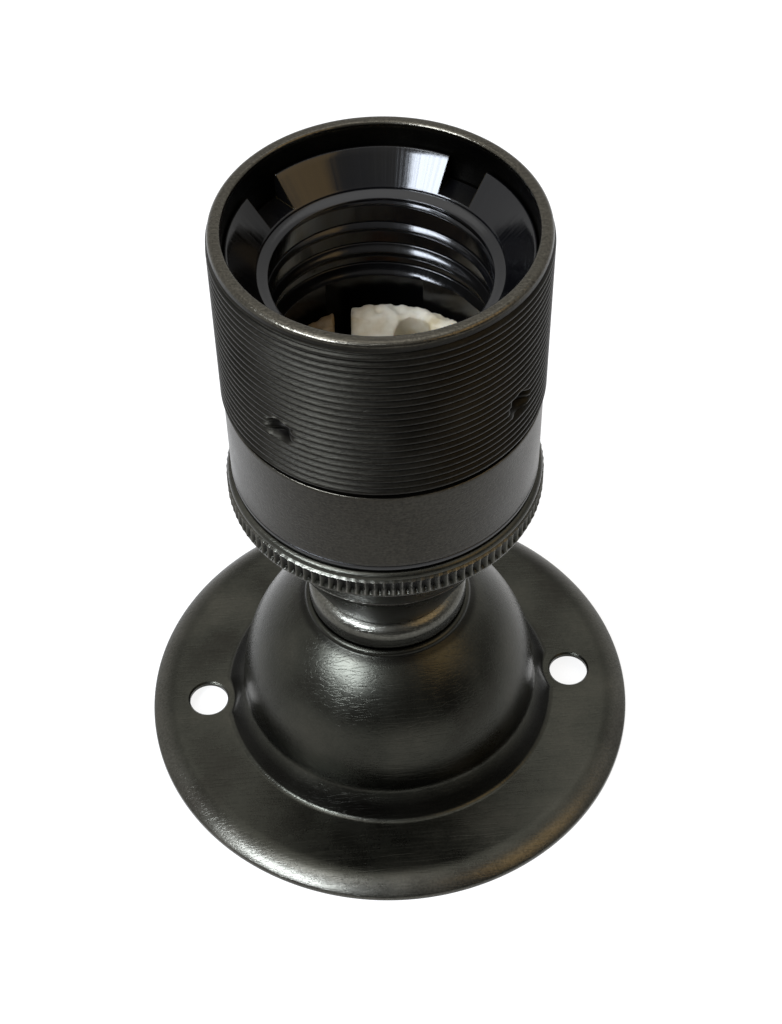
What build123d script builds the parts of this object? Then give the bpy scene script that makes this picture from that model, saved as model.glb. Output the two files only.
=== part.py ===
from build123d import *
from math import cos, pi, radians, sin, sqrt, tan
import os

# Batten lamp holder: a spun rose that screws to a wall or ceiling and carries one
# medium screw lamp socket on a hollow nipple. Millimetres, +Z up along the lamp axis.
# The origin is the centre of the rose's rim, in the plane that meets the wall,
# and the two wall screws lie on the X axis.

# Rose, spun from sheet
plate_radius = 32.7
plate_rise = 2.2
sheet = 0.7
plate_width = 13.0
lip_bend = 2.0
crown_radius = 11.06
foot_bend = 2.5
seat_height = 22.6
ridge_gap = 0.6
ridge_round = 0.45
ridge_lift = 0.3
screw_inset = 7.7
screw_hole = 2.6
screw_count = 2
head_room = 4.8
head_pocket_height = 2.0

# Hollow nipple, its nut and its washer
nipple_radius = 4.95
nipple_bore = 4.0
nipple_clear = 0.15
thread_fit = 0.05
nipple_tail = 3.6
nut_across_flats = 14.0
nut_height = 3.0
washer_radius = 8.2
washer_thickness = 0.6
washer_teeth = 12
washer_tooth_depth = 1.3
washer_tooth_gap = 0.9
nipple_stand = 1.4
nipple_chamfer = 0.3

# Collar between the rose and the cap
collar_radius = 10.15
collar_foot_radius = 9.4
collar_foot_height = 1.3
collar_height = 5.6
collar_shoulder = 1.8
collar_underside = 0.5

# Cap with its milled rim
cap_neck_radius = 9.2
cap_neck_depth = 7.0
cap_waist_radius = 13.55
cap_waist_height = 9.0
cap_line_depth = 0.25
cap_line_width = 0.4
cap_wall = 1.85
cap_flare_height = 17.3
rim_wall = 2.35
rim_step = 0.2
rim_foot = 0.4
rim_shoulder = 0.55
rim_height = 3.9
rim_land = 0.3
rim_land_inset = 0.05
knurl_proud = 0.15
knurl_depth = 0.4
knurl_teeth = 111
knurl_foot = 0.7
knurl_height = 2.4
knurl_chamfer = 0.3
knurl_backing = 1.0
cap_thread_depth = 4.8
cap_bore_step = 1.2
cap_ledge_width = 1.7
cap_ledge_depth = 3.0
chamber_step = 1.9
chamber_floor_land = 0.9

# Grub screw that locks the cap on the nipple
grub_turn = 90.0
grub_radius = 1.5
grub_length = 5.0
grub_height = 4.2
grub_clear = 0.05

# Terminals, their screws and the earth post
bar_width = 5.0
bar_height = 3.9
bar_gap = 0.15
bar_overhang = 2.2
wire_hole = 1.3
wire_hole_depth = 5.6
screw_shank = 1.25
screw_head = 1.8
screw_head_height = 1.3
driver_slot_width = 0.5
driver_slot_depth = 0.6
earth_turn = 180.0
earth_gap = 1.45
earth_length = 4.0
earth_height = 5.0
earth_screw_stand = 0.3
live_screw_spin = 35.0
neutral_screw_spin = 10.0
contact_screw_spin = 60.0
earth_screw_spin = 25.0
contact_screw_end = 0.4

# Porcelain interior, turned a few degrees from the line of the wall screws
interior_turn = -4.25
disc_clear = 0.3
disc_height = 3.2
drum_margin = 0.3
drum_height = 15.9
drum_land = 2.4
dish_depth = 5.2
well_radius = 6.0
floor_height = 6.4
edge_round = 0.5
live_turn = 68.6
neutral_turn = 270.0
terminal_inset = 3.5
terminal_well = 2.2
slot_width = 1.3
slot_offset = 4.7
slot_depth = 9.0
wire_notch_width = 4.4

# Centre contact, a hairpin leaf with a riveted button
leaf_thickness = 0.4
leaf_width = 4.4
leaf_foot_gap = 0.6
leaf_bend_reach = 3.6
leaf_rise = 3.6
leaf_heel_rise = 2.4
leaf_tip = 1.9
leaf_tip_drop = 0.3
leaf_bend = 0.9
leaf_screw_place = 3.6
button_radius = 1.8
button_height = 0.9
button_shank = 0.8
button_shank_length = 0.75
button_clear = 0.1

# Side contact, a springy blade beside the lamp's shell
blade_thickness = 0.5
blade_width = 5.0
blade_foot = 3.9
blade_reach = 0.2
blade_bend = 0.6
blade_bow = 0.8
blade_nose = 0.1
blade_shoulder_drop = 2.3
blade_waist_rise = 0.1
blade_nose_rise = 3.0
blade_top_rise = 4.6
blade_gap = 0.3
blade_lift = 0.4

# Insulating liner with the lamp thread
liner_clear = 0.17
liner_wall = 2.0
liner_flange_inset = 0.25
liner_flange = 0.7
liner_thread_clear = 0.2
liner_drum_clear = 0.6
lamp_thread_major = 13.3
lamp_thread_depth = 1.1
lamp_thread_pitch = 3.629
lamp_thread_turns = 3
lip_height = 27.6
lip_land = 0.3
lip_rise = 0.8
lip_reach = 1.3
lip_width = 0.3
funnel_rise = 3.3
funnel_edge = 0.3
notch_count = 4
notch_angle = 17.4
socket_turn = 48.4
window_turn = 41.0
window_angle = 48.0
window_wall = 0.8
window_count = 2

# Outer skirt with the fine thread for a shade ring
skirt_inset = 0.55
skirt_wall = 1.23
skirt_height = 34.7
band_height = 11.3
relief_depth = 0.6
relief_height = 1.0
shade_thread_proud = 0.25
shade_thread_depth = 0.45
shade_thread_lead = 0.15
shade_thread_pitch = 0.97
shade_thread_turns = 22
rim_edge_outer = 0.2
rim_edge_inner = 0.3
dimple_height = 18.6
dimple_ball = 2.4
dimple_depth = 0.8
dimple_wall = 0.7
dimple_back_clear = 0.4
dimple_pocket = 2.2
dimple_pocket_depth = 0.9

# Heights that follow from the stack of pieces
collar_top = seat_height + collar_height
cap_floor = collar_top + cap_neck_depth
cap_top = collar_top + cap_flare_height + rim_foot + rim_height + rim_land
flange_top = cap_top + liner_flange
thread_floor = cap_top - cap_thread_depth
disc_bottom = thread_floor - cap_ledge_depth
disc_top = disc_bottom + disc_height
drum_top = disc_top + drum_height
bar_top = disc_top + bar_height
contact_floor = disc_top + floor_height
lip_top = flange_top + lip_height
ledge = lip_top + lip_rise
liner_top = ledge + funnel_rise
skirt_top = flange_top + skirt_height
dimple_level = flange_top + dimple_height
washer_bottom = seat_height - sheet - washer_thickness
nipple_bottom = washer_bottom - nut_height - nipple_tail
nipple_top = cap_floor + nipple_stand
lamp_thread_top = lip_top - lip_land
window_top = lamp_thread_top - (lamp_thread_turns + 0.25) * lamp_thread_pitch

# Radii that follow from the pieces they meet
screw_circle = plate_radius - screw_inset
dome_radius = plate_radius - plate_width
dome_centre = seat_height - sqrt(dome_radius**2 - crown_radius**2)
lamp_thread_minor = lamp_thread_major - lamp_thread_depth
drum_radius = lamp_thread_major + drum_margin
terminal_circle = drum_radius - terminal_inset
liner_lower_radius = drum_radius + liner_drum_clear
liner_thread_radius = liner_lower_radius + liner_wall
cap_thread_radius = liner_thread_radius + liner_thread_clear
rim_radius = cap_thread_radius + rim_wall
skirt_radius = rim_radius - skirt_inset
nipple_hole = nipple_radius + nipple_clear
cap_entry = nipple_radius + thread_fit
ridge_radius = collar_foot_radius + ridge_gap + ridge_round
knurl_radius = rim_radius + knurl_proud
knurl_root = knurl_radius - knurl_depth
cap_bore_radius = cap_thread_radius - cap_bore_step
disc_radius = cap_bore_radius - disc_clear
skirt_bore = skirt_radius - skirt_wall
shade_thread_radius = skirt_radius + shade_thread_proud
shade_thread_root = shade_thread_radius - shade_thread_depth
liner_radius = skirt_bore - liner_clear
lip_outer_radius = lamp_thread_major + lip_width
blade_inner_radius = lamp_thread_minor + blade_reach
blade_line = blade_inner_radius + blade_thickness / 2
bar_reach = blade_inner_radius - blade_gap / 2
earth_centre = nipple_radius + earth_gap + earth_length / 2


def level(height, turn=0.0):
    """Horizontal plane at a height, its X axis turned about the lamp axis."""
    along = (cos(radians(turn)), sin(radians(turn)), 0)
    return Plane(origin=(0, 0, height), x_dir=along, z_dir=(0, 0, 1))


def upright(turn):
    """Plane through the lamp axis: X runs outwards and Y runs up."""
    c, s = cos(radians(turn)), sin(radians(turn))
    return Plane(origin=(0, 0, 0), x_dir=(c, s, 0), z_dir=(s, -c, 0))


def facing(turn, radius, height):
    """Plane square to a radius, facing outwards: X runs round and Y runs up."""
    c, s = cos(radians(turn)), sin(radians(turn))
    return Plane(origin=(radius * c, radius * s, height), x_dir=(-s, c, 0), z_dir=(c, s, 0))


def half_section(points, rounds=()):
    """Closed outline of (radius, height) points, some of its corners rounded."""
    with BuildSketch(Plane.XZ) as section:
        with BuildLine():
            Polyline(*points, close=True)
        make_face()
        for corner, radius in rounds:
            fillet(section.vertices().sort_by_distance(corner)[0], radius)
    return section.sketch


def sector(inner, outer, angle):
    """Corners of a wedge that covers an angle between two radii, about the X axis."""
    half = radians(angle / 2)
    reach = outer / cos(half)
    return [(inner, -inner * tan(half)), (reach * cos(half), -reach * sin(half)),
            (reach * cos(half), reach * sin(half)), (inner, inner * tan(half))]


def rose_section(depth):
    """Half section of all that lies under a skin this deep below the rose's face."""
    skin = dome_radius - depth
    flange = plate_rise - depth
    crown = seat_height - depth
    edge = plate_radius - depth
    foot = (sqrt(skin**2 - (flange - dome_centre) ** 2), flange)
    shoulder = (sqrt(skin**2 - (crown - dome_centre) ** 2), crown)
    middle = (skin * cos(radians(25)), dome_centre + skin * sin(radians(25)))
    with BuildSketch(Plane.XZ) as section:
        with BuildLine():
            Polyline(shoulder, (0, crown), (0, 0), (edge, 0), (edge, flange), foot)
            ThreePointArc(foot, middle, shoulder)
        make_face()
        fillet(section.vertices().sort_by_distance(foot)[0], foot_bend + depth)
        fillet(section.vertices().sort_by_distance((edge, flange))[0], lip_bend - depth)
    return section.sketch


def stand_at(turn, radius, spin=0.0):
    """Horizontal plane at zero height whose origin lies at a turn and radius."""
    centre = (radius * cos(radians(turn)), radius * sin(radians(turn)), 0)
    along = (cos(radians(turn + spin)), sin(radians(turn + spin)), 0)
    return Plane(origin=centre, x_dir=along, z_dir=(0, 0, 1))


def slotted_screw(place, head_seat, tip):
    """Cheese-head screw on an upright axis, from the height under its head to its tip."""
    with BuildPart() as screw:
        with BuildSketch(place.offset(head_seat)):
            Circle(screw_head)
        extrude(amount=screw_head_height)
        with BuildSketch(place.offset(head_seat)):
            Circle(screw_shank)
        extrude(amount=tip - head_seat)
        with BuildSketch(place.offset(head_seat + screw_head_height)):
            Rectangle(3 * screw_head, driver_slot_width)
        extrude(amount=-driver_slot_depth, mode=Mode.SUBTRACT)
    return screw


live = interior_turn + live_turn
neutral = interior_turn + neutral_turn
pieces = {}

# Rose: the pocket for each screw head presses the sheet in beside the dome's foot
with BuildPart() as rose_hollow:
    revolve(rose_section(sheet), Axis.Z)
    with BuildSketch(level(plate_rise - sheet)):
        with PolarLocations(screw_circle, screw_count):
            Circle(head_room + sheet)
    extrude(amount=head_pocket_height + sheet, mode=Mode.SUBTRACT)

with BuildPart() as backplate:
    revolve(rose_section(0), Axis.Z)
    with BuildSketch(Plane.XZ):
        with Locations((ridge_radius, seat_height + ridge_lift)):
            Circle(ridge_round)
    revolve(axis=Axis.Z)
    add(rose_hollow.part, mode=Mode.SUBTRACT)
    with BuildSketch(level(plate_rise)):
        with PolarLocations(screw_circle, screw_count):
            Circle(head_room)
    extrude(amount=head_pocket_height, mode=Mode.SUBTRACT)
    with BuildSketch(level(0)):
        with PolarLocations(screw_circle, screw_count):
            Circle(screw_hole)
        Circle(nipple_hole)
    extrude(amount=2 * seat_height, mode=Mode.SUBTRACT)
pieces["backplate"] = backplate

# Nipple and what clamps it under the crown
with BuildPart() as threaded_nipple:
    with BuildSketch(level(nipple_bottom)):
        Circle(nipple_radius)
        Circle(nipple_bore, mode=Mode.SUBTRACT)
    extrude(amount=nipple_top - nipple_bottom)
    for end in (0, -1):
        chamfer(threaded_nipple.faces().sort_by(Axis.Z)[end].outer_wire().edges(), nipple_chamfer)
pieces["threaded_nipple"] = threaded_nipple

with BuildPart() as lock_washer:
    with BuildSketch(level(washer_bottom)):
        Circle(washer_radius)
        with PolarLocations(washer_radius, washer_teeth):
            Rectangle(2 * washer_tooth_depth, washer_tooth_gap, mode=Mode.SUBTRACT)
        Circle(nipple_hole, mode=Mode.SUBTRACT)
    extrude(amount=washer_thickness)
pieces["lock_washer"] = lock_washer

with BuildPart() as nipple_nut:
    with BuildSketch(level(washer_bottom)):
        RegularPolygon(nut_across_flats / 2, 6, major_radius=False)
        Circle(cap_entry, mode=Mode.SUBTRACT)
    extrude(amount=-nut_height)
pieces["nipple_nut"] = nipple_nut

# Collar
collar_foot_top = seat_height + collar_foot_height
with BuildPart() as neck_collar:
    revolve(
        half_section(
            [(nipple_hole, seat_height), (collar_foot_radius, seat_height),
             (collar_foot_radius, collar_foot_top), (collar_radius, collar_foot_top),
             (collar_radius, collar_top), (nipple_hole, collar_top)],
            [((collar_radius, collar_top), collar_shoulder),
             ((collar_radius, collar_foot_top), collar_underside)],
        ),
        Axis.Z,
    )
pieces["neck_collar"] = neck_collar

# Cap: a turned cup with a milled rim, threaded below for the nipple and above for the liner
waist = collar_top + cap_waist_height
flare = collar_top + cap_flare_height
chamber_slope = (cap_waist_radius - cap_neck_radius) / cap_waist_height
chamber_floor_radius = cap_neck_radius + chamber_slope * cap_neck_depth - cap_wall
cap_ledge_radius = disc_radius - cap_ledge_width
rim_land_radius = skirt_radius - rim_land_inset
rim_bottom = collar_top + cap_flare_height + rim_foot
rim_top = rim_bottom + rim_height
knurl_bottom = collar_top + cap_flare_height + knurl_foot
knurl_top = knurl_bottom + knurl_height
chamber_top = disc_bottom - chamber_step
with BuildPart() as knurl:
    with BuildSketch(level(knurl_bottom)):
        with BuildLine():
            half_tooth = pi / knurl_teeth
            Polyline(
                *[((knurl_radius - knurl_depth * (i % 2)) * cos(i * half_tooth),
                   (knurl_radius - knurl_depth * (i % 2)) * sin(i * half_tooth))
                  for i in range(2 * knurl_teeth)],
                close=True,
            )
        make_face()
        Circle(knurl_root - knurl_depth, mode=Mode.SUBTRACT)
    extrude(amount=knurl_height)
    revolve(
        half_section(
            [(knurl_root - knurl_backing, knurl_bottom),
             (knurl_radius - knurl_chamfer, knurl_bottom),
             (knurl_radius, knurl_bottom + knurl_chamfer), (knurl_radius, knurl_top - knurl_chamfer),
             (knurl_radius - knurl_chamfer, knurl_top), (knurl_root - knurl_backing, knurl_top)]
        ),
        Axis.Z,
        mode=Mode.INTERSECT,
    )

with BuildPart() as holder_cap:
    revolve(
        half_section(
            [(cap_entry, collar_top), (cap_neck_radius, collar_top),
             (cap_waist_radius, waist - cap_line_width / 2),
             (cap_waist_radius - cap_line_depth, waist),
             (cap_waist_radius, waist + cap_line_width / 2),
             (rim_radius - rim_step, flare), (rim_radius, rim_bottom),
             (rim_radius, knurl_bottom), (knurl_root, knurl_bottom),
             (knurl_root, knurl_top), (rim_radius, knurl_top), (rim_radius, rim_top),
             (rim_land_radius, rim_top), (rim_land_radius, cap_top),
             (cap_thread_radius, cap_top), (cap_thread_radius, thread_floor),
             (cap_bore_radius, thread_floor), (cap_bore_radius, disc_bottom),
             (cap_ledge_radius, disc_bottom), (cap_ledge_radius, chamber_top),
             (chamber_floor_radius, cap_floor + chamber_floor_land),
             (chamber_floor_radius, cap_floor), (cap_entry, cap_floor)],
            [((rim_radius, rim_top), rim_shoulder)],
        ),
        Axis.Z,
    )
    add(knurl.part)
    with BuildSketch(facing(grub_turn, 0, collar_top + grub_height)):
        Circle(grub_radius)
    extrude(amount=rim_radius, mode=Mode.SUBTRACT)
pieces["holder_cap"] = holder_cap

with BuildPart() as cap_grub_screw:
    with BuildSketch(facing(grub_turn, nipple_radius + grub_clear, collar_top + grub_height)):
        Circle(grub_radius - grub_clear)
    extrude(amount=grub_length)
    grub_end = nipple_radius + grub_clear + grub_length
    with BuildSketch(facing(grub_turn, grub_end, collar_top + grub_height)):
        Rectangle(driver_slot_width, 2 * grub_radius)
    extrude(amount=-driver_slot_depth, mode=Mode.SUBTRACT)
pieces["cap_grub_screw"] = cap_grub_screw

# Earth post on the cap's floor
earth_place = stand_at(earth_turn, earth_centre)
earth_top = cap_floor + earth_height
earth_middle = cap_floor + earth_height / 2
with BuildPart() as earth_terminal:
    with BuildSketch(earth_place.offset(cap_floor)):
        Rectangle(earth_length, bar_width)
    extrude(amount=earth_height)
    with BuildSketch(earth_place.offset(earth_top)):
        Circle(screw_shank)
    extrude(amount=-earth_height / 2, mode=Mode.SUBTRACT)
    with BuildSketch(upright(earth_turn)):
        with Locations((earth_centre, earth_middle)):
            Circle(wire_hole)
    extrude(amount=bar_width, both=True, mode=Mode.SUBTRACT)
pieces["earth_terminal"] = earth_terminal
pieces["earth_screw"] = slotted_screw(
    stand_at(earth_turn, earth_centre, earth_screw_spin),
    earth_top + earth_screw_stand,
    earth_middle + wire_hole,
)

# Porcelain interior: a flange on the cap's ledge, a drum and a dished top
side_slot_inner = blade_inner_radius - blade_gap
foot_room = blade_width + 2 * blade_gap
dish_radius = drum_radius - drum_land
with BuildPart() as porcelain_interior:
    revolve(
        half_section(
            [(0, disc_bottom), (disc_radius, disc_bottom), (disc_radius, disc_top),
             (drum_radius, disc_top), (drum_radius, drum_top), (dish_radius, drum_top),
             (well_radius, drum_top - dish_depth), (well_radius, contact_floor),
             (0, contact_floor)],
            [((drum_radius, drum_top), edge_round), ((dish_radius, drum_top), edge_round)],
        ),
        Axis.Z,
    )
    for turn, inner_end in ((live, 0.0), (neutral, terminal_circle - bar_width / 2)):
        pocket_length = disc_radius - inner_end
        pocket_middle = stand_at(turn, inner_end + pocket_length / 2)
        with BuildSketch(pocket_middle.offset(disc_top)):
            Rectangle(pocket_length, bar_width + 2 * bar_gap)
        extrude(amount=bar_height, mode=Mode.SUBTRACT)
        with BuildSketch(stand_at(turn, terminal_circle).offset(disc_top)):
            Circle(terminal_well)
        extrude(amount=drum_height, mode=Mode.SUBTRACT)
        with BuildSketch(stand_at(turn, blade_inner_radius + disc_radius / 2).offset(disc_bottom)):
            Rectangle(disc_radius, wire_notch_width)
        extrude(amount=disc_height, mode=Mode.SUBTRACT)
    for inner_end, height in (
        (terminal_circle - bar_width / 2, blade_thickness + blade_lift),
        (side_slot_inner, drum_height),
    ):
        with BuildSketch(stand_at(neutral, inner_end + drum_radius / 2).offset(bar_top)):
            Rectangle(drum_radius, foot_room)
        extrude(amount=height, mode=Mode.SUBTRACT)
    with BuildSketch(stand_at(live, leaf_screw_place).offset(disc_top)):
        Circle(screw_shank + bar_gap)
    extrude(amount=floor_height, mode=Mode.SUBTRACT)
    with BuildSketch(level(drum_top, interior_turn)):
        for side in (-1, 1):
            with Locations((side * slot_offset, -side * drum_radius)):
                Rectangle(slot_width, 2 * (drum_radius - well_radius / 2))
    extrude(amount=-slot_depth, mode=Mode.SUBTRACT)
pieces["porcelain_interior"] = porcelain_interior


def terminal_bar(turn, inner_end, screw_places):
    """Brass bar under the porcelain with a wire hole in its outer end."""
    length = bar_reach - inner_end
    with BuildPart() as bar:
        with BuildSketch(stand_at(turn, inner_end + length / 2).offset(disc_top)):
            Rectangle(length, bar_width)
        extrude(amount=bar_height)
        with BuildSketch(facing(turn, bar_reach, disc_top + bar_height / 2)):
            Circle(wire_hole)
        extrude(amount=-wire_hole_depth, mode=Mode.SUBTRACT)
        for place, depth in screw_places:
            with BuildSketch(stand_at(turn, place).offset(bar_top)):
                Circle(screw_shank)
            extrude(amount=-depth, mode=Mode.SUBTRACT)
    return bar


# Terminals: the live bar reaches in under the centre contact
clamp_depth = bar_height / 2
pieces["live_terminal"] = terminal_bar(
    live,
    leaf_screw_place - bar_overhang,
    [(terminal_circle, clamp_depth), (leaf_screw_place, bar_height)],
)
pieces["neutral_terminal"] = terminal_bar(
    neutral, terminal_circle - bar_width / 2 + bar_gap, [(terminal_circle, clamp_depth)]
)
clamp_seat = bar_top + blade_thickness + blade_lift + bar_gap
clamp_tip = bar_top - clamp_depth + wire_hole
pieces["live_terminal_screw"] = slotted_screw(
    stand_at(live, terminal_circle, live_screw_spin), clamp_seat, clamp_tip
)
pieces["neutral_terminal_screw"] = slotted_screw(
    stand_at(neutral, terminal_circle, neutral_screw_spin), clamp_seat, clamp_tip
)

# Centre contact
leaf_base = contact_floor + leaf_thickness / 2
with BuildPart() as centre_contact:
    with BuildSketch(upright(live)):
        with BuildLine():
            FilletPolyline(
                (well_radius - leaf_foot_gap, leaf_base), (-leaf_bend_reach, leaf_base),
                (-leaf_bend_reach, leaf_base + leaf_heel_rise), (0, leaf_base + leaf_rise),
                (leaf_tip, leaf_base + leaf_rise - leaf_tip_drop),
                radius=leaf_bend,
            )
        trace(line_width=leaf_thickness)
    extrude(amount=leaf_width / 2, both=True)
    with BuildSketch(stand_at(live, leaf_screw_place).offset(contact_floor)):
        Circle(screw_shank + bar_gap)
    extrude(amount=leaf_thickness, mode=Mode.SUBTRACT)
    with BuildSketch(level(leaf_base + leaf_rise / 2)):
        Circle(button_shank + button_clear)
    extrude(amount=leaf_rise, mode=Mode.SUBTRACT)
pieces["centre_contact"] = centre_contact
pieces["centre_contact_screw"] = slotted_screw(
    stand_at(live, leaf_screw_place, contact_screw_spin),
    contact_floor + leaf_thickness,
    disc_top + contact_screw_end,
)

button_base = leaf_base + leaf_rise + leaf_thickness / 2
with BuildPart() as contact_button:
    with BuildSketch(level(button_base)):
        Circle(button_radius)
    extrude(amount=button_height)
    fillet(contact_button.edges().group_by(Axis.Z)[-1], button_height * 0.8)
    with BuildSketch(level(button_base)):
        Circle(button_shank)
    extrude(amount=-button_shank_length)
pieces["contact_button"] = contact_button

# Side contact: its foot lies on the neutral bar and its top bows in towards the lamp's shell
blade_base = bar_top + blade_thickness / 2
with BuildPart() as side_contact:
    with BuildSketch(upright(neutral)):
        with BuildLine():
            FilletPolyline(
                (blade_line - blade_foot, blade_base), (blade_line, blade_base),
                (blade_line, drum_top - blade_shoulder_drop),
                (blade_line + blade_bow, drum_top + blade_waist_rise),
                (blade_line + blade_nose, drum_top + blade_nose_rise),
                (blade_line + blade_bow, drum_top + blade_top_rise),
                radius=blade_bend,
            )
        trace(line_width=blade_thickness)
    extrude(amount=blade_width / 2, both=True)
    with BuildSketch(stand_at(neutral, terminal_circle).offset(bar_top)):
        Circle(screw_shank + 2 * bar_gap)
    extrude(amount=blade_thickness, mode=Mode.SUBTRACT)
pieces["side_contact"] = side_contact


def lamp_thread_arcs():
    """Start, top and end of each furrow and ridge of the lamp thread, down from the lip."""
    mean = (lamp_thread_minor + lamp_thread_major) / 2
    step = lamp_thread_pitch / 2
    for i in range(2 * lamp_thread_turns):
        extreme = lamp_thread_minor if i % 2 else lamp_thread_major
        start = lamp_thread_top - i * step
        yield (mean, start), (extreme, start - step / 2), (mean, start - step)


# Liner: a flanged sleeve with the lamp thread and a notched funnel at its mouth
thread_arcs = list(lamp_thread_arcs())
liner_flange_radius = skirt_radius - liner_flange_inset
thread_start = thread_arcs[0][0]
thread_end = thread_arcs[-1][2]
window_radius = liner_thread_radius - window_wall
notch_turns = [socket_turn + i * 360 / notch_count for i in range(notch_count)]
with BuildPart() as liner:
    with BuildSketch(Plane.XZ):
        with BuildLine():
            Polyline(
                thread_end, (lamp_thread_major, window_top), (liner_lower_radius, window_top),
                (liner_lower_radius, disc_top), (liner_thread_radius, disc_top),
                (liner_thread_radius, cap_top), (liner_flange_radius, cap_top),
                (liner_flange_radius, flange_top), (liner_radius, flange_top),
                (liner_radius, liner_top), (liner_radius - funnel_edge, liner_top),
                (lip_outer_radius, ledge), (lip_outer_radius - lip_reach, lip_top), thread_start,
            )
            for start, middle, end in thread_arcs:
                ThreePointArc(start, middle, end)
        make_face()
    revolve(axis=Axis.Z)
    with BuildSketch(level(ledge, socket_turn)):
        with PolarLocations(0, notch_count):
            Polygon(*sector(lamp_thread_minor, skirt_radius, notch_angle), align=None)
        Circle(lip_outer_radius, mode=Mode.SUBTRACT)
    extrude(amount=2 * funnel_rise, mode=Mode.SUBTRACT)
    with BuildSketch(level(disc_top, socket_turn + window_turn)):
        with PolarLocations(0, window_count):
            Polygon(*sector(drum_radius, skirt_radius, window_angle), align=None)
        Circle(window_radius, mode=Mode.INTERSECT)
    extrude(amount=window_top - disc_top, mode=Mode.SUBTRACT)
    for turn in notch_turns:
        with BuildSketch(facing(turn, liner_radius - dimple_pocket_depth, dimple_level)):
            Circle(dimple_pocket)
        extrude(amount=2 * dimple_pocket_depth, mode=Mode.SUBTRACT)
pieces["liner"] = liner

# Skirt: plain band, relief groove, fine thread and four punched dimples
band_top = flange_top + band_height
thread_bottom = band_top + relief_height
thread_top = thread_bottom + shade_thread_turns * shade_thread_pitch
crests = []
for i in range(shade_thread_turns):
    root = thread_bottom + i * shade_thread_pitch
    crests += [(shade_thread_root, root), (shade_thread_radius, root + shade_thread_pitch / 2)]

dimple_centre = shade_thread_radius - dimple_depth + dimple_ball
dimple_places = [facing(turn, dimple_centre, dimple_level) for turn in notch_turns]
with BuildPart() as dimple_backs:
    with Locations(*dimple_places):
        Sphere(dimple_ball + dimple_wall)
    with BuildSketch(level(flange_top)):
        Circle(skirt_bore + dimple_back_clear)
    extrude(amount=skirt_height, mode=Mode.INTERSECT)

with BuildPart() as outer_skirt:
    revolve(
        half_section(
            [(skirt_bore, flange_top), (skirt_radius, flange_top), (skirt_radius, band_top),
             (skirt_radius - relief_depth + shade_thread_proud, band_top)]
            + crests
            + [(shade_thread_root, thread_top), (skirt_radius, thread_top + shade_thread_lead),
               (skirt_radius, skirt_top), (skirt_bore, skirt_top)],
            [((skirt_radius, skirt_top), rim_edge_outer), ((skirt_bore, skirt_top), rim_edge_inner)],
        ),
        Axis.Z,
    )
    add(dimple_backs.part)
    with Locations(*dimple_places):
        Sphere(dimple_ball, mode=Mode.SUBTRACT)
pieces["outer_skirt"] = outer_skirt

os.makedirs("parts", exist_ok=True)
for name, piece in pieces.items():
    piece.part.label = name
    export_step(piece.part, f"parts/{name}.step")
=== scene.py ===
"""Fine meshes, finishes, floor, light and camera for a batten lamp holder.

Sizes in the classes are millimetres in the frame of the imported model: +Z runs up
the lamp axis and the two wall screws lie on the X axis.
"""

import logging
import math
from dataclasses import dataclass
from enum import Enum
from typing import Callable, Sequence

import bmesh
import bpy
from mathutils import Matrix, Vector, noise


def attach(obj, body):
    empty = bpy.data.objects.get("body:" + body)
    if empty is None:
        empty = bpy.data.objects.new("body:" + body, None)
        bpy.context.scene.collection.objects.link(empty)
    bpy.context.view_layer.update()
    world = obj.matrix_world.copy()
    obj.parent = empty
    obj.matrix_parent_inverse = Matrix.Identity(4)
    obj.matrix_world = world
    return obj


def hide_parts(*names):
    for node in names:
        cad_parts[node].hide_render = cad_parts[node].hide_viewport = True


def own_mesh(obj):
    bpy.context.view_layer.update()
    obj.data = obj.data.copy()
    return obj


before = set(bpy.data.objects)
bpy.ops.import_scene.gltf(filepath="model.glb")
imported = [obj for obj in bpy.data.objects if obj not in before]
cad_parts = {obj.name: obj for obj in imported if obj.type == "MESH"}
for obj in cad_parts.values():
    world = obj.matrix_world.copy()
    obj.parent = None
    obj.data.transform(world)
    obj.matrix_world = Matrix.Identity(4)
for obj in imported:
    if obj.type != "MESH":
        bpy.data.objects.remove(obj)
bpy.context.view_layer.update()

MM = 0.001

# Heights and turns at which pieces of several classes meet
CROWN = 22.6
COLLAR_TOP = 27.4
CAP_TOP = 49.65
FLANGE_TOP = 50.4
BAR_TOP = 49.4
WELL_FLOOR = 51.9
DRUM_TOP = 61.4
DIMPLE_HEIGHT = 69.4
LIVE_TURN = 64.35
NEUTRAL_TURN = 265.75

# Nearly all values of a noise lie between these
NOISE_RANGE = (0.3, 0.7)

Point = tuple[float, float]
Colour = tuple[float, float, float, float]
Warp = Callable[[float, float, float], Point]
log = logging.getLogger("lamp holder")


class Body(Enum):
    """Moving body that a piece rides on."""

    HOLDER = "holder"
    SOCKET = "socket"
    BUTTON = "contact_button"
    BLADE = "side_contact"


class Slot(Enum):
    """The record's material slot of a piece."""

    ANTIQUE_BRASS = "antique_brass"
    BLACK_MOULDING = "black_moulding"
    PORCELAIN = "porcelain"
    CONTACT_BRONZE = "contact_bronze"


# Outlines


def arc(centre: Point, radius: float, start: float, end: float, step: float) -> list[Point]:
    """Points along a circular arc.

    Args:
        centre: radius and height of its centre.
        radius: its radius.
        start: first angle in degrees, 0 outwards and 90 up.
        end: last angle in degrees.
        step: longest run between points.

    Returns:
        The points, both ends included.
    """
    count = max(2, math.ceil(abs(math.radians(end - start)) * radius / step))
    points = []
    for i in range(count + 1):
        turn = math.radians(start + (end - start) * i / count)
        points.append((centre[0] + radius * math.cos(turn), centre[1] + radius * math.sin(turn)))
    return points


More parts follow.
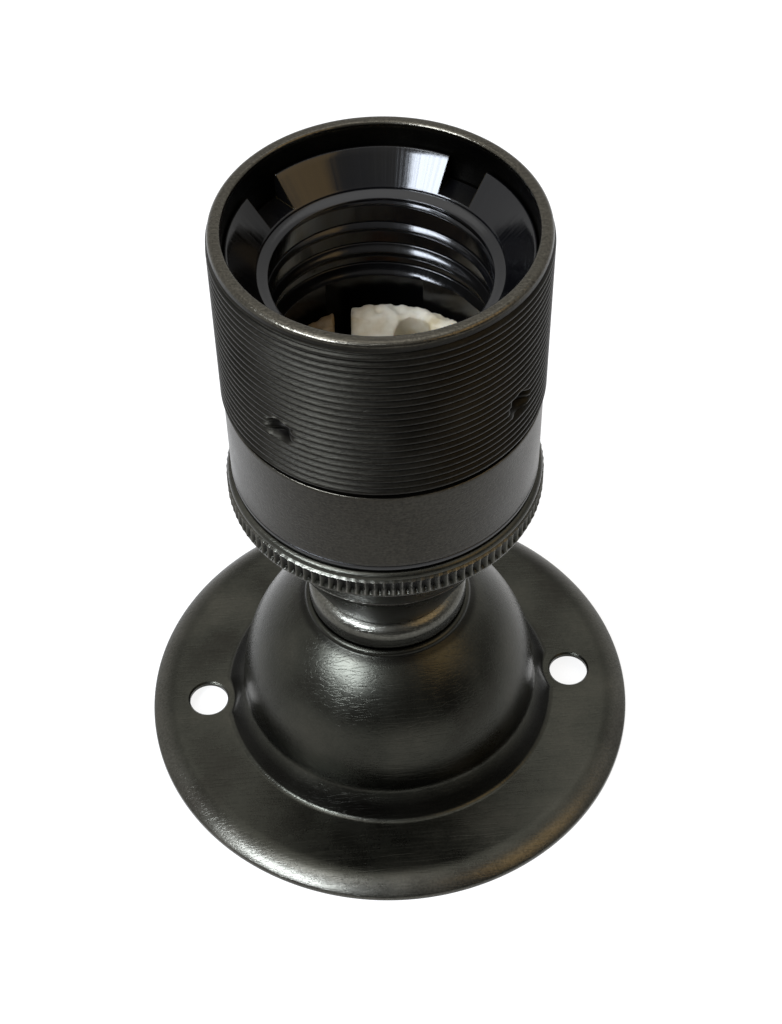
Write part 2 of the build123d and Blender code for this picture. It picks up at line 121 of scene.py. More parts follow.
def rounded(corners: list[tuple[float, float, float]], step: float = 0.15) -> list[Point]:
    """Closed outline whose corners are rounded.

    Args:
        corners: radius, height and rounding of each corner in turn.
        step: longest run between points of a rounding.

    Returns:
        The outline's points.
    """
    points: list[Point] = []
    for i, (x, z, radius) in enumerate(corners):
        here = Vector((x, z))
        before = (Vector(corners[i - 1][:2]) - here).normalized()
        after = (Vector(corners[(i + 1) % len(corners)][:2]) - here).normalized()
        opening = before.angle(after)
        if radius <= 0 or opening > math.pi - 0.02:
            points.append((x, z))
            continue
        centre = here + (before + after).normalized() * (radius / math.sin(opening / 2))
        start = here + before * (radius / math.tan(opening / 2)) - centre
        end = here + after * (radius / math.tan(opening / 2)) - centre
        sweep = math.pi - opening
        count = max(2, math.ceil(sweep * radius / step))
        for k in range(count + 1):
            share = k / count
            spot = start * math.sin((1 - share) * sweep) + end * math.sin(share * sweep)
            spot = centre + spot / math.sin(sweep)
            points.append((spot.x, spot.y))
    return points


def refined(points: list[Point], longest: float) -> list[Point]:
    """Closed outline with no run longer than a limit.

    Args:
        points: the outline.
        longest: the limit.

    Returns:
        The outline with points added on its long runs.
    """
    fine: list[Point] = []
    for i, point in enumerate(points):
        following = points[(i + 1) % len(points)]
        count = max(1, math.ceil(math.dist(point, following) / longest))
        for k in range(count):
            share = k / count
            fine.append(tuple(a + (b - a) * share for a, b in zip(point, following)))
    return fine


def smallest(first: float, second: float, blend: float) -> float:
    """The smaller of two values, with a soft turn from one to the other."""
    overlap = max(blend - abs(first - second), 0.0) / blend
    return min(first, second) - overlap * overlap * blend / 4


def eased(value: float) -> float:
    """Value held between 0 and 1, with a soft start and end."""
    held = min(max(value, 0.0), 1.0)
    return held * held * (3 - 2 * held)


# Meshes


def new_object(name: str, mesh: bpy.types.Mesh) -> bpy.types.Object:
    """Object of a mesh in the scene's collection.

    Args:
        name: the object's name.
        mesh: the mesh.

    Returns:
        The object.
    """
    made = bpy.data.objects.new(name, mesh)
    bpy.context.scene.collection.objects.link(made)
    return made


def mesh_of(name: str, points: list[Vector], faces: list[tuple[int, ...]]) -> bpy.types.Object:
    """Object from points in millimetres.

    Args:
        name: the object's name.
        points: its points.
        faces: point numbers of each face.

    Returns:
        The object, doubled points merged and its faces turned outwards.
    """
    mesh = bpy.data.meshes.new(name)
    mesh.from_pydata([point * MM for point in points], [], faces)
    work = bmesh.new()
    work.from_mesh(mesh)
    bmesh.ops.remove_doubles(work, verts=work.verts, dist=2e-6)
    bmesh.ops.dissolve_degenerate(work, edges=work.edges, dist=1e-7)
    bmesh.ops.recalc_face_normals(work, faces=work.faces)
    work.to_mesh(mesh)
    work.free()
    return new_object(name, mesh)


def around(radius: float, height: float, angle: float) -> Vector:
    """Point at a radius, height and angle in radians."""
    return Vector((radius * math.cos(angle), radius * math.sin(angle), height))


@dataclass
class Spun:
    """A solid turned round the lamp axis, its surface bent by a warp."""

    name: str
    outline: list[Point]
    segments: int
    warp: Warp | None = None
    closed: bool = True
    thread: "Thread | None" = None

    def build(self) -> bpy.types.Object:
        """Makes the mesh.

        Returns:
            The object.
        """
        points: list[Vector] = []
        faces: list[tuple[int, ...]] = []
        for radius, height in self.outline:
            for k in range(self.segments):
                angle = 2 * math.pi * k / self.segments
                spot = self.warp(radius, height, angle) if self.warp else (radius, height)
                points.append(around(*spot, angle))
        rows = len(self.outline)
        for row in range(rows if self.closed else rows - 1):
            below, above = row * self.segments, (row + 1) % rows * self.segments
            for k in range(self.segments):
                after = (k + 1) % self.segments
                faces.append((below + k, below + after, above + after, above + k))
        if self.thread:
            self.thread.add_to(points, faces, self.segments, self.warp)
        return mesh_of(self.name, points, faces)


@dataclass
class Thread:
    """A helical thread between two heights that fades into plain walls at both ends."""

    low: float
    high: float
    pitch: float
    form: tuple[float, ...]
    low_radius: float
    high_radius: float
    phase: float
    fade: float

    def add_to(
        self,
        points: list[Vector],
        faces: list[tuple[int, ...]],
        segments: int,
        warp: Warp | None,
    ) -> None:
        """Adds the threaded wall, whose rows follow the helix.

        Args:
            points: the mesh's points so far.
            faces: the mesh's faces so far.
            segments: columns round the axis.
            warp: bends the wall, or None.
        """
        per_turn = len(self.form)
        rows = per_turn * (math.ceil((self.high - self.low) / self.pitch) + 1) + 1
        first = len(points)
        for row in range(rows):
            for k in range(segments):
                angle = 2 * math.pi * k / segments
                lead = (k / segments + self.phase) % 1.0
                height = self.low + (row / per_turn + lead - 1) * self.pitch
                height = min(max(height, self.low), self.high)
                spot = (self.radius_at(height, lead), height)
                if warp:
                    spot = warp(*spot, angle)
                points.append(around(*spot, angle))
        seam = math.ceil((1 - self.phase) % 1.0 * segments)
        for row in range(rows - 1):
            for k in range(segments):
                after = (k + 1) % segments
                step = per_turn if after == seam % segments else 0
                if row + step + 1 >= rows:
                    continue
                low, high = first + row * segments, first + (row + step) * segments
                faces.append(
                    (low + k, high + after, high + segments + after, low + segments + k)
                )

    def radius_at(self, height: float, lead: float) -> float:
        """Wall radius at a height.

        Args:
            height: the height.
            lead: share of a pitch by which the helix has risen there.

        Returns:
            The radius.
        """
        turn = ((height - self.low) / self.pitch - lead) % 1.0 * len(self.form)
        index = int(turn)
        here = self.form[index % len(self.form)]
        following = self.form[(index + 1) % len(self.form)]
        radius = here + (following - here) * (turn - index)
        start = eased((height - self.low) / self.fade)
        end = eased((self.high - height) / self.fade)
        radius = self.low_radius + (radius - self.low_radius) * start
        return self.high_radius + (radius - self.high_radius) * end


def stacked(name: str, rings: list[list[Vector]]) -> bpy.types.Object:
    """Closed solid through rings, capped at both ends.

    Args:
        name: the object's name.
        rings: rings of the same number of points.

    Returns:
        The solid.
    """
    count = len(rings[0])
    faces: list[tuple[int, ...]] = [tuple(reversed(range(count)))]
    for row in range(len(rings) - 1):
        for k in range(count):
            after = (k + 1) % count
            low, high = row * count, (row + 1) * count
            faces.append((low + k, low + after, high + after, high + k))
    faces.append(tuple((len(rings) - 1) * count + k for k in range(count)))
    return mesh_of(name, [point for ring in rings for point in ring], faces)


def plug(profile: list[Point], place: Matrix, sides: int = 48) -> bpy.types.Object:
    """Round solid on a place's Z axis, for a hole.

    Args:
        profile: radius and height of each ring, upwards.
        place: where its axis stands, in millimetres.
        sides: points round each ring.

    Returns:
        The cutter.
    """
    rings = [
        [place @ around(radius, height, 2 * math.pi * k / sides) for k in range(sides)]
        for radius, height in profile
    ]
    return stacked("cutter", rings)


def wedge(
    inner: float, outer: float, low: float, high: float, turn: float, width: float
) -> bpy.types.Object:
    """Part of a ring between two radii and two heights.

    Args:
        inner: smaller radius.
        outer: larger radius.
        low: lower height.
        high: upper height.
        turn: its middle's angle in degrees.
        width: its width in degrees.

    Returns:
        The cutter.
    """
    steps = 24
    angles = [math.radians(turn + width * (i / steps - 0.5)) for i in range(steps + 1)]
    rings = []
    for height in (low, high):
        ring = [around(inner, height, angle) for angle in angles]
        ring += [around(outer, height, angle) for angle in reversed(angles)]
        rings.append(ring)
    return stacked("cutter", rings)


def block(place: Matrix, length: float, width: float, low: float, high: float) -> bpy.types.Object:
    """Straight block on a place's Z axis, centred across it.

    Args:
        place: where its axis stands, in millimetres.
        length: size along the place's X axis.
        width: size along its Y axis.
        low: lower height.
        high: upper height.

    Returns:
        The cutter.
    """
    corners = ((-1, -1), (1, -1), (1, 1), (-1, 1))
    rings = [
        [place @ Vector((x * length / 2, y * width / 2, height)) for x, y in corners]
        for height in (low, high)
    ]
    return stacked("cutter", rings)


def standing(turn: float, radius: float) -> Matrix:
    """Place at a turn in degrees and a radius, its X axis outwards."""
    spin = Matrix.Rotation(math.radians(turn), 4, "Z")
    return spin @ Matrix.Translation((radius, 0, 0))


def carved(body: bpy.types.Object, cutters: list[bpy.types.Object]) -> bpy.types.Object:
    """Body with all the cutters taken away.

    Args:
        body: the solid.
        cutters: solids that don't meet each other; they are used up.

    Returns:
        The body.
    """
    work = bmesh.new()
    for cutter in cutters:
        work.from_mesh(cutter.data)
        bpy.data.objects.remove(cutter)
    mesh = bpy.data.meshes.new("cutters")
    work.to_mesh(mesh)
    work.free()
    tool = new_object("cutters", mesh)
    modifier = body.modifiers.new("cut", "BOOLEAN")
    modifier.operation = "DIFFERENCE"
    modifier.solver = "EXACT"
    modifier.object = tool
    settle(body)
    bpy.data.objects.remove(tool)
    return body


def settle(body: bpy.types.Object) -> None:
    """Applies all the modifiers of an object.

    Args:
        body: the object.
    """
    evaluated = body.evaluated_get(bpy.context.evaluated_depsgraph_get())
    mesh = bpy.data.meshes.new_from_object(evaluated)
    body.modifiers.clear()
    body.data = mesh


def shade(body: bpy.types.Object, sharp: float) -> None:
    """Shades an object smooth, with breaks at its sharp edges.

    Args:
        body: the object.
        sharp: angle in degrees above which an edge stays crisp.
    """
    for face in body.data.polygons:
        face.use_smooth = True
    body.data.set_sharp_from_angle(angle=math.radians(sharp))


def mark_wear_and_shade(
    body: bpy.types.Object,
    start: float,
    full: float,
    most: float,
    wear_and_shade_added: Callable[[float, float], float],
) -> None:
    """Stores wear from how strongly each point's surroundings bulge, plus what the piece adds, as
    the attribute wear_and_shade.

    Args:
        body: the piece.
        start: bulge at which wear begins, in 1/mm.
        full: bulge at which it is full.
        most: value of full wear.
        wear_and_shade_added: gives what is added at a radius and height: more where hands and tools
            rub,
        less than none in hollows that keep the darkest patina and where shade is painted.
    """
    work = bmesh.new()
    work.from_mesh(body.data)
    work.normal_update()
    layer = work.verts.layers.float.new("wear_and_shade")
    for vertex in work.verts:
        bend, weight = 0.0, 0.0
        for edge in vertex.link_edges:
            run = (edge.other_vert(vertex).co - vertex.co) / MM
            if run.length > 0.02:
                bend -= 2 * vertex.normal.dot(run) / run.length_squared
                weight += 1.0
        share = (bend / max(weight, 1.0) - start) / (full - start)
        spot = vertex.co / MM
        # Bulge wear plus the piece's own additions; values below zero are dark patina or painted
        # shade
        vertex[layer] = eased(share) * most + wear_and_shade_added(math.hypot(spot.x, spot.y), spot.z)
    work.to_mesh(body.data)
    work.free()


# Finishes


def linear(code: str) -> Colour:
    """Linear colour of an sRGB value.

    Args:
        code: the value in hex, such as #808080.

    Returns:
        The colour with full opacity.
    """
    parts = []
    for i in (1, 3, 5):
        value = int(code[i:i + 2], 16) / 255
        parts.append(value / 12.92 if value <= 0.04045 else ((value + 0.055) / 1.055) ** 2.4)
    return (*parts, 1.0)


def add(
    tree: bpy.types.NodeTree,
    kind: str,
    links: dict | Sequence = (),
    stops: Sequence[tuple[float, str]] = (),
    **settings: str | int,
) -> bpy.types.Node:
    """Adds a node.

    Args:
        tree: the node tree.
        kind: the node's type name.
        links: sockets or plain values for its inputs, in their order or by name or number.
        stops: place and hex colour of each stop of a colour ramp.
        **settings: the node's own settings.

    Returns:
        The node.
    """
    node = tree.nodes.new(kind)
    for key, value in settings.items():
        setattr(node, key, value)
    for key, value in links.items() if isinstance(links, dict) else enumerate(links):
        if isinstance(value, bpy.types.NodeSocket):
            tree.links.new(value, node.inputs[key])
        else:
            node.inputs[key].default_value = value
    if stops:
        elements = node.color_ramp.elements
        while len(elements) < len(stops):
            elements.new(1.0)
        for element, (place, code) in zip(elements, stops):
            element.position = place
            element.color = linear(code)
    return node


class Finish:
    """A procedural finish, made once and shared by its pieces."""

    title = "finish"

    def material(self) -> bpy.types.Material:
        """The finish's material, made at its first use.

        Returns:
            The material.
        """
        made = bpy.data.materials.get(self.title)
        if made:
            return made
        made = bpy.data.materials.new(self.title)
        made.use_nodes = True
        tree = made.node_tree
        tree.nodes.clear()
        shader = add(tree, "ShaderNodeBsdfPrincipled")
        add(tree, "ShaderNodeOutputMaterial", (shader.outputs["BSDF"],))
        place = add(tree, "ShaderNodeTexCoord").outputs["Object"]
        place = add(
            tree, "ShaderNodeVectorMath", {0: place, "Scale": 1 / MM}, operation="SCALE"
        ).outputs["Vector"]
        self.fill(tree, shader, place)
        return made

    def fill(
        self, tree: bpy.types.NodeTree, shader: bpy.types.Node, place: bpy.types.NodeSocket
    ) -> None:
        """Sets the shader up.

        Args:
            tree: the node tree.
            shader: its principled shader.
            place: the point's place in millimetres.
        """
        raise NotImplementedError

    def relief(
        self,
        tree: bpy.types.NodeTree,
        shader: bpy.types.Node,
        height: bpy.types.NodeSocket,
        strength: float,
        distance: float,
        normal: bpy.types.NodeSocket | None = None,
    ) -> None:
        """Gives the shader a fine relief.

        Args:
            tree: the node tree.
            shader: its principled shader.
            height: height of the relief, from 0 to 1.
            strength: how far it is felt.
            distance: its depth in millimetres.
            normal: the normal that it bends, or None for the surface's own.
        """
        links = {"Height": height, "Strength": strength, "Distance": distance * MM}
        if normal:
            links["Normal"] = normal
        bump = add(tree, "ShaderNodeBump", links)
        tree.links.new(bump.outputs["Normal"], shader.inputs["Normal"])

    def spots(
        self,
        tree: bpy.types.NodeTree,
        place: bpy.types.NodeSocket,
        size: float,
        detail: float = 3.0,
        stretch: tuple[float, float, float] = (1.0, 1.0, 1.0),
        turn: tuple[float, float, float] = (0.0, 0.0, 0.0),
    ) -> bpy.types.NodeSocket:
        """Cloudy pattern of spots.

        Args:
            tree: the node tree.
            place: the point's place in millimetres.
            size: size of the largest spots in millimetres.
            detail: octaves.
            stretch: how much longer the spots are along each axis.
            turn: turn of those axes in radians.

        Returns:
            A value between 0 and 1.
        """
        scale = tuple(1 / (size * part) for part in stretch)
        moved = add(
            tree, "ShaderNodeMapping", {"Vector": place, "Rotation": turn, "Scale": scale},
            vector_type="POINT",
        ).outputs["Vector"]
        return add(
            tree, "ShaderNodeTexNoise", {"Vector": moved, "Scale": 1.0, "Detail": detail}
        ).outputs["Fac"]


@dataclass(frozen=True)
class AntiqueBrass(Finish):
    """Spun or turned brass, chemically bronzed nearly black and waxed.

    The patina gives a dark olive satin that mirrors little face on and a lot at a
    slant, with cloudy tones, fine scuffs where hands rubbed it and browner, shinier
    bends where the brass starts to show. Hollows keep the darkest, nearly black patina,
    and the same colour is painted as shade into the grooves, feet and dimples that a piece marks.
    """

    title: str = "antique brass"
    dark: str = "#262521"
    middle: str = "#2f2f2a"
    pale: str = "#3a3933"
    worn: str = "#74716a"
    # Nearly black patina of real hollows, also the colour and strength of painted shade
    soot_and_shade_colour: str = "#0c0b0a"
    soot_and_shade: float = 0.8
    cloud: float = 9.0
    speckle: float = 0.3
    mottle: float = 0.05
    least_wear: float = 0.45
    roughness: float = 0.28
    clearer: float = 0.04
    duller: float = 0.06
    polish: float = 0.08
    # Real scuffs are finer than 0.1 mm. They are drawn coarser, so that they show.
    scuff_size: float = 0.7
    scuff_stretch: float = 16.0
    scuff_width: float = 0.03
    scuff: float = 0.5
    grit: float = 0.15
    turning: float = 0.06
    turning_pitch: float = 0.3
    relief_depth: float = 0.012

    def fill(
        self, tree: bpy.types.NodeTree, shader: bpy.types.Node, place: bpy.types.NodeSocket
    ) -> None:
        """Sets the shader up.

        Args:
            tree: the node tree.
            shader: its principled shader.
            place: the point's place in millimetres.
        """
        clouds = self.spots(tree, place, self.cloud, 5.0)
        specks = self.spots(tree, place, self.speckle, 2.0)
        mottle = add(
            tree, "ShaderNodeMapRange", (specks, *NOISE_RANGE, -self.mottle, self.mottle)
        ).outputs[0]
        tone = add(tree, "ShaderNodeMath", (clouds, mottle), operation="ADD").outputs[0]
        stops = ((0.3, self.dark), (0.5, self.middle), (0.72, self.pale))
        patina = add(tree, "ShaderNodeValToRGB", (tone,), stops).outputs["Color"]
        wear_and_shade = add(tree, "ShaderNodeAttribute", attribute_name="wear_and_shade").outputs["Fac"]
        patchy = add(
            tree, "ShaderNodeMapRange", (specks, *NOISE_RANGE, self.least_wear, 1.0)
        ).outputs[0]
        rubbed = add(tree, "ShaderNodeMath", (wear_and_shade, patchy), operation="MULTIPLY").outputs[0]
        rubbed = add(tree, "ShaderNodeMapRange", (rubbed, 0.0, 1.0, 0.0, 1.0)).outputs[0]
        colour = add(
            tree, "ShaderNodeMix", {0: rubbed, 6: patina, 7: linear(self.worn)}, data_type="RGBA"
        ).outputs[2]
        # Below zero the attribute darkens towards that colour: real patina in the milling's
        # furrows, painted shade in the rose's groove and foot and in the skirt's dimples
        soot_and_shade_mask = add(tree, "ShaderNodeMapRange", (wear_and_shade, 0.0, -1.0, 0.0, self.soot_and_shade)).outputs[0]
        colour = add(
            tree, "ShaderNodeMix", {0: soot_and_shade_mask, 6: colour, 7: linear(self.soot_and_shade_colour)}, data_type="RGBA"
        ).outputs[2]
        tree.links.new(colour, shader.inputs["Base Color"])
        shader.inputs["Metallic"].default_value = 1.0
        satin = add(
            tree, "ShaderNodeMapRange",
            (tone, 0.3, 0.75, self.roughness - self.clearer, self.roughness + self.duller),
        ).outputs[0]
        shine = add(
            tree, "ShaderNodeMath", (rubbed, -self.polish, satin), operation="MULTIPLY_ADD"
        ).outputs[0]
        tree.links.new(shine, shader.inputs["Roughness"])
        grit = add(tree, "ShaderNodeMapRange", (specks, *NOISE_RANGE, 0.0, self.grit)).outputs[0]
        height = self.turning_lines(tree, place)
        for part in (*self.scuffs(tree, place), grit):
            height = add(tree, "ShaderNodeMath", (height, part), operation="ADD").outputs[0]
        self.relief(tree, shader, height, 1.0, self.relief_depth)

    def scuffs(
        self, tree: bpy.types.NodeTree, place: bpy.types.NodeSocket
    ) -> list[bpy.types.NodeSocket]:
        """Fine scratches that cross one another, where stretched spots pass a level.

        Args:
            tree: the node tree.
            place: the point's place in millimetres.

        Returns:
            The depth of each of the two ways of scratches.
        """
        lines = []
        for turn in ((0.4, 0.9, 0.5), (1.3, 0.2, 2.1)):
            field = self.spots(
                tree, place, self.scuff_size, 1.0, (self.scuff_stretch, 1.0, 1.0), turn
            )
            offset = add(tree, "ShaderNodeMath", (field, 0.5), operation="SUBTRACT").outputs[0]
            offset = add(tree, "ShaderNodeMath", (offset,), operation="ABSOLUTE").outputs[0]
            lines.append(add(
                tree, "ShaderNodeMapRange", (offset, 0.0, self.scuff_width, -self.scuff, 0.0)
            ).outputs[0])
        return lines

    def turning_lines(
        self, tree: bpy.types.NodeTree, place: bpy.types.NodeSocket
    ) -> bpy.types.NodeSocket:
        """Faint rings left by the lathe, a pattern along the radius and the height.

        Args:
            tree: the node tree.
            place: the point's place in millimetres.

        Returns:
            The rings' height.
        """
        parts = add(tree, "ShaderNodeSeparateXYZ", (place,)).outputs
        flat = add(tree, "ShaderNodeCombineXYZ", (parts["X"], parts["Y"])).outputs[0]
        radius = add(tree, "ShaderNodeVectorMath", (flat,), operation="LENGTH").outputs["Value"]
        along = add(tree, "ShaderNodeMath", (radius, parts["Z"]), operation="ADD").outputs[0]
        line = add(
            tree, "ShaderNodeTexNoise",
            {"W": along, "Scale": 1 / self.turning_pitch, "Detail": 2.0},
            noise_dimensions="1D",
        ).outputs["Fac"]
        return add(
            tree, "ShaderNodeMapRange", (line, *NOISE_RANGE, 0.0, self.turning)
        ).outputs[0]


@dataclass(frozen=True)
class MouldedPhenolic(Finish):
    """Compression moulded black phenolic: a hard deep gloss over a brown filler.

    Drag lines of the mould run down its walls and streak the gloss. The filler shows
    at the funnel's thin trimmed edges.
    """

    title: str = "moulded phenolic"
    black: str = "#040405"
    brown: str = "#090806"
    filler: str = "#5d4f2c"
    ior: float = 1.46
    specular: float = 0.36
    flow: float = 9.0
    drag: float = 0.02
    edge: float = 0.16
    trimmed_above: float = 79.0
    trimmed: float = 0.4
    gloss: Point = (0.1, 0.2)
    ripple: float = 1.6
    relief_depth: float = 0.012

    def fill(
        self, tree: bpy.types.NodeTree, shader: bpy.types.Node, place: bpy.types.NodeSocket
    ) -> None:
        """Sets the shader up.

        Args:
            tree: the node tree.
            shader: its principled shader.
            place: the point's place in millimetres.
        """
        clouds = self.spots(tree, place, self.flow, 3.0)
        stops = ((0.4, self.black), (0.75, self.brown))
        colour = add(tree, "ShaderNodeValToRGB", (clouds,), stops).outputs["Color"]
        soft = add(tree, "ShaderNodeBevel", (self.edge * MM,), samples=6).outputs[0]
        true = add(tree, "ShaderNodeNewGeometry").outputs["Normal"]
        same = add(
            tree, "ShaderNodeVectorMath", (soft, true), operation="DOT_PRODUCT"
        ).outputs["Value"]
        edge = add(tree, "ShaderNodeMapRange", (same, 0.85, 0.6, 0.0, self.trimmed)).outputs[0]
        rise = add(tree, "ShaderNodeSeparateXYZ", (place,)).outputs["Z"]
        low, high = self.trimmed_above - 0.1, self.trimmed_above + 0.1
        upper = add(tree, "ShaderNodeMapRange", (rise, low, high, 0.0, 1.0)).outputs[0]
        edge = add(tree, "ShaderNodeMath", (edge, upper), operation="MULTIPLY").outputs[0]
        colour = add(
            tree, "ShaderNodeMix", {0: edge, 6: colour, 7: linear(self.filler)}, data_type="RGBA"
        ).outputs[2]
        tree.links.new(colour, shader.inputs["Base Color"])
        shader.inputs["IOR"].default_value = self.ior
        shader.inputs["Specular IOR Level"].default_value = self.specular
        flat = add(
            tree, "ShaderNodeVectorMath", (place, (1.0, 1.0, 0.0)), operation="MULTIPLY"
        ).outputs["Vector"]
        turn = add(tree, "ShaderNodeVectorMath", (flat,), operation="NORMALIZE").outputs["Vector"]
        lines = self.spots(tree, turn, self.drag, 4.0)
        gloss = add(tree, "ShaderNodeMapRange", (lines, 0.35, 0.65, *self.gloss)).outputs[0]
        tree.links.new(gloss, shader.inputs["Roughness"])
        ripples = self.spots(tree, place, self.ripple, 2.0)
        height = add(
            tree, "ShaderNodeMath", (lines, 0.5, ripples), operation="MULTIPLY_ADD"
        ).outputs[0]
        self.relief(tree, shader, height, 0.5, self.relief_depth, soft)


@dataclass(frozen=True)
class BisquePorcelain(Finish):
    """Pressed and fired electrical porcelain, unglazed.

    It gives a chalky cream with a fine grit and cloudy stains, brown painted shade on
    one side, and a little light passes through its thin edges.
    """

    title: str = "bisque porcelain"
    cream: str = "#dcd6c4"
    # Brown colour of the painted shade on the -X side, with where it starts, is full and how strong
    # it is
    shade_tone: str = "#c2b493"
    painted_shade_brown: str = "#6d5530"
    stain: float = 3.5
    painted_shade_start: float = -2.0
    painted_shade_full: float = -4.8
    painted_shade: float = 0.85
    wander: float = 0.8
    roughness: float = 0.55
    subsurface: float = 0.15
    light_reach: tuple[float, float, float] = (1.2 * MM, 0.9 * MM, 0.6 * MM)
    grit: float = 0.4
    relief_depth: float = 0.05

    def fill(
        self, tree: bpy.types.NodeTree, shader: bpy.types.Node, place: bpy.types.NodeSocket
    ) -> None:
        """Sets the shader up.

        Args:
            tree: the node tree.
            shader: its principled shader.
            place: the point's place in millimetres.
        """
        clouds = self.spots(tree, place, self.stain, 4.0)
        stops = ((0.35, self.shade_tone), (0.6, self.cream))
        colour = add(tree, "ShaderNodeValToRGB", (clouds,), stops).outputs["Color"]
        # Painted shade: browner and darker towards -X, its edge wandering with the stains
        along = add(tree, "ShaderNodeSeparateXYZ", (place,)).outputs["X"]
        wander = add(
            tree, "ShaderNodeMapRange", (clouds, *NOISE_RANGE, -self.wander, self.wander)
        ).outputs[0]
        along = add(tree, "ShaderNodeMath", (along, wander), operation="ADD").outputs[0]
        painted_shade = add(
            tree, "ShaderNodeMapRange",
            (along, self.painted_shade_start, self.painted_shade_full, 0.0, self.painted_shade),
        ).outputs[0]
        colour = add(
            tree, "ShaderNodeMix", {0: painted_shade, 6: colour, 7: linear(self.painted_shade_brown)},
            data_type="RGBA",
        ).outputs[2]
        tree.links.new(colour, shader.inputs["Base Color"])
        shader.inputs["Roughness"].default_value = self.roughness
        shader.inputs["Subsurface Weight"].default_value = self.subsurface
        shader.inputs["Subsurface Radius"].default_value = self.light_reach
        shader.inputs["Subsurface Scale"].default_value = 1.0
        self.relief(tree, shader, self.spots(tree, place, self.grit), 0.5, self.relief_depth)


@dataclass(frozen=True)
class DrawnMetal(Finish):
    """Machined or rolled metal with fine tool lines and a light tarnish."""

    title: str = "machined brass"
    bright: str = "#c9a765"
    tarnish: str = "#9c7c45"
    roughness: float = 0.28
    line: float = 0.12
    dulling: float = 0.12
    relief_depth: float = 0.01

    def fill(
        self, tree: bpy.types.NodeTree, shader: bpy.types.Node, place: bpy.types.NodeSocket
    ) -> None:
        """Sets the shader up.

        Args:
            tree: the node tree.
            shader: its principled shader.
            place: the point's place in millimetres.
        """
        clouds = self.spots(tree, place, 2.0, 4.0)
        stops = ((0.35, self.tarnish), (0.62, self.bright))
        colour = add(tree, "ShaderNodeValToRGB", (clouds,), stops).outputs["Color"]
        tree.links.new(colour, shader.inputs["Base Color"])
        shader.inputs["Metallic"].default_value = 1.0
        satin = add(
            tree, "ShaderNodeMapRange",
            (clouds, *NOISE_RANGE, self.roughness + self.dulling, self.roughness),
        ).outputs[0]
        tree.links.new(satin, shader.inputs["Roughness"])
        lines = self.spots(tree, place, self.line, 2.0, (1.0, 12.0, 1.0))
        self.relief(tree, shader, lines, 0.5, self.relief_depth)


PATINA = AntiqueBrass()
HANDLED = AntiqueBrass("handled brass", roughness=0.26, worn="#85837b")
# Darker copy of the antique brass for the skirt: dirt in the thread, with painted shade for the
# self-shadow of its furrows
THREADED_DIRT_AND_SHADE = AntiqueBrass(
    "threaded brass", "#100f0d", "#151411", "#1d1c19", worn="#68645a", roughness=0.4, polish=0.5
)
PHENOLIC = MouldedPhenolic()
BISQUE = BisquePorcelain()
BRASS = DrawnMetal()
BRONZE = DrawnMetal("rolled phosphor bronze", "#c78f58", "#8f6338", 0.3, 0.15)
ZINC = DrawnMetal("zinc plated steel", "#c3c2bd", "#93928c", 0.3, 0.1)


def fitted(
    piece: bpy.types.Object,
    node: str,
    body: Body,
    finish: Finish,
    sharp: float = 32.0,
) -> bpy.types.Object:
    """Dresses a piece and sets it in place of its CAD node.

    Args:
        piece: the piece.
        node: the CAD node that it replaces.
        body: the body that it rides on.
        finish: its finish.
        sharp: edges above this angle in degrees stay crisp.

    Returns:
        The piece.
    """
    piece.data.materials.clear()
    piece.data.materials.append(finish.material())
    shade(piece, sharp)
    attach(piece, body.value)
    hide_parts(node)
    piece.data.calc_loop_triangles()
    log.info("%s: %d triangles on %s", piece.name, len(piece.data.loop_triangles), body.value)
    return piece


# Sub-assemblies


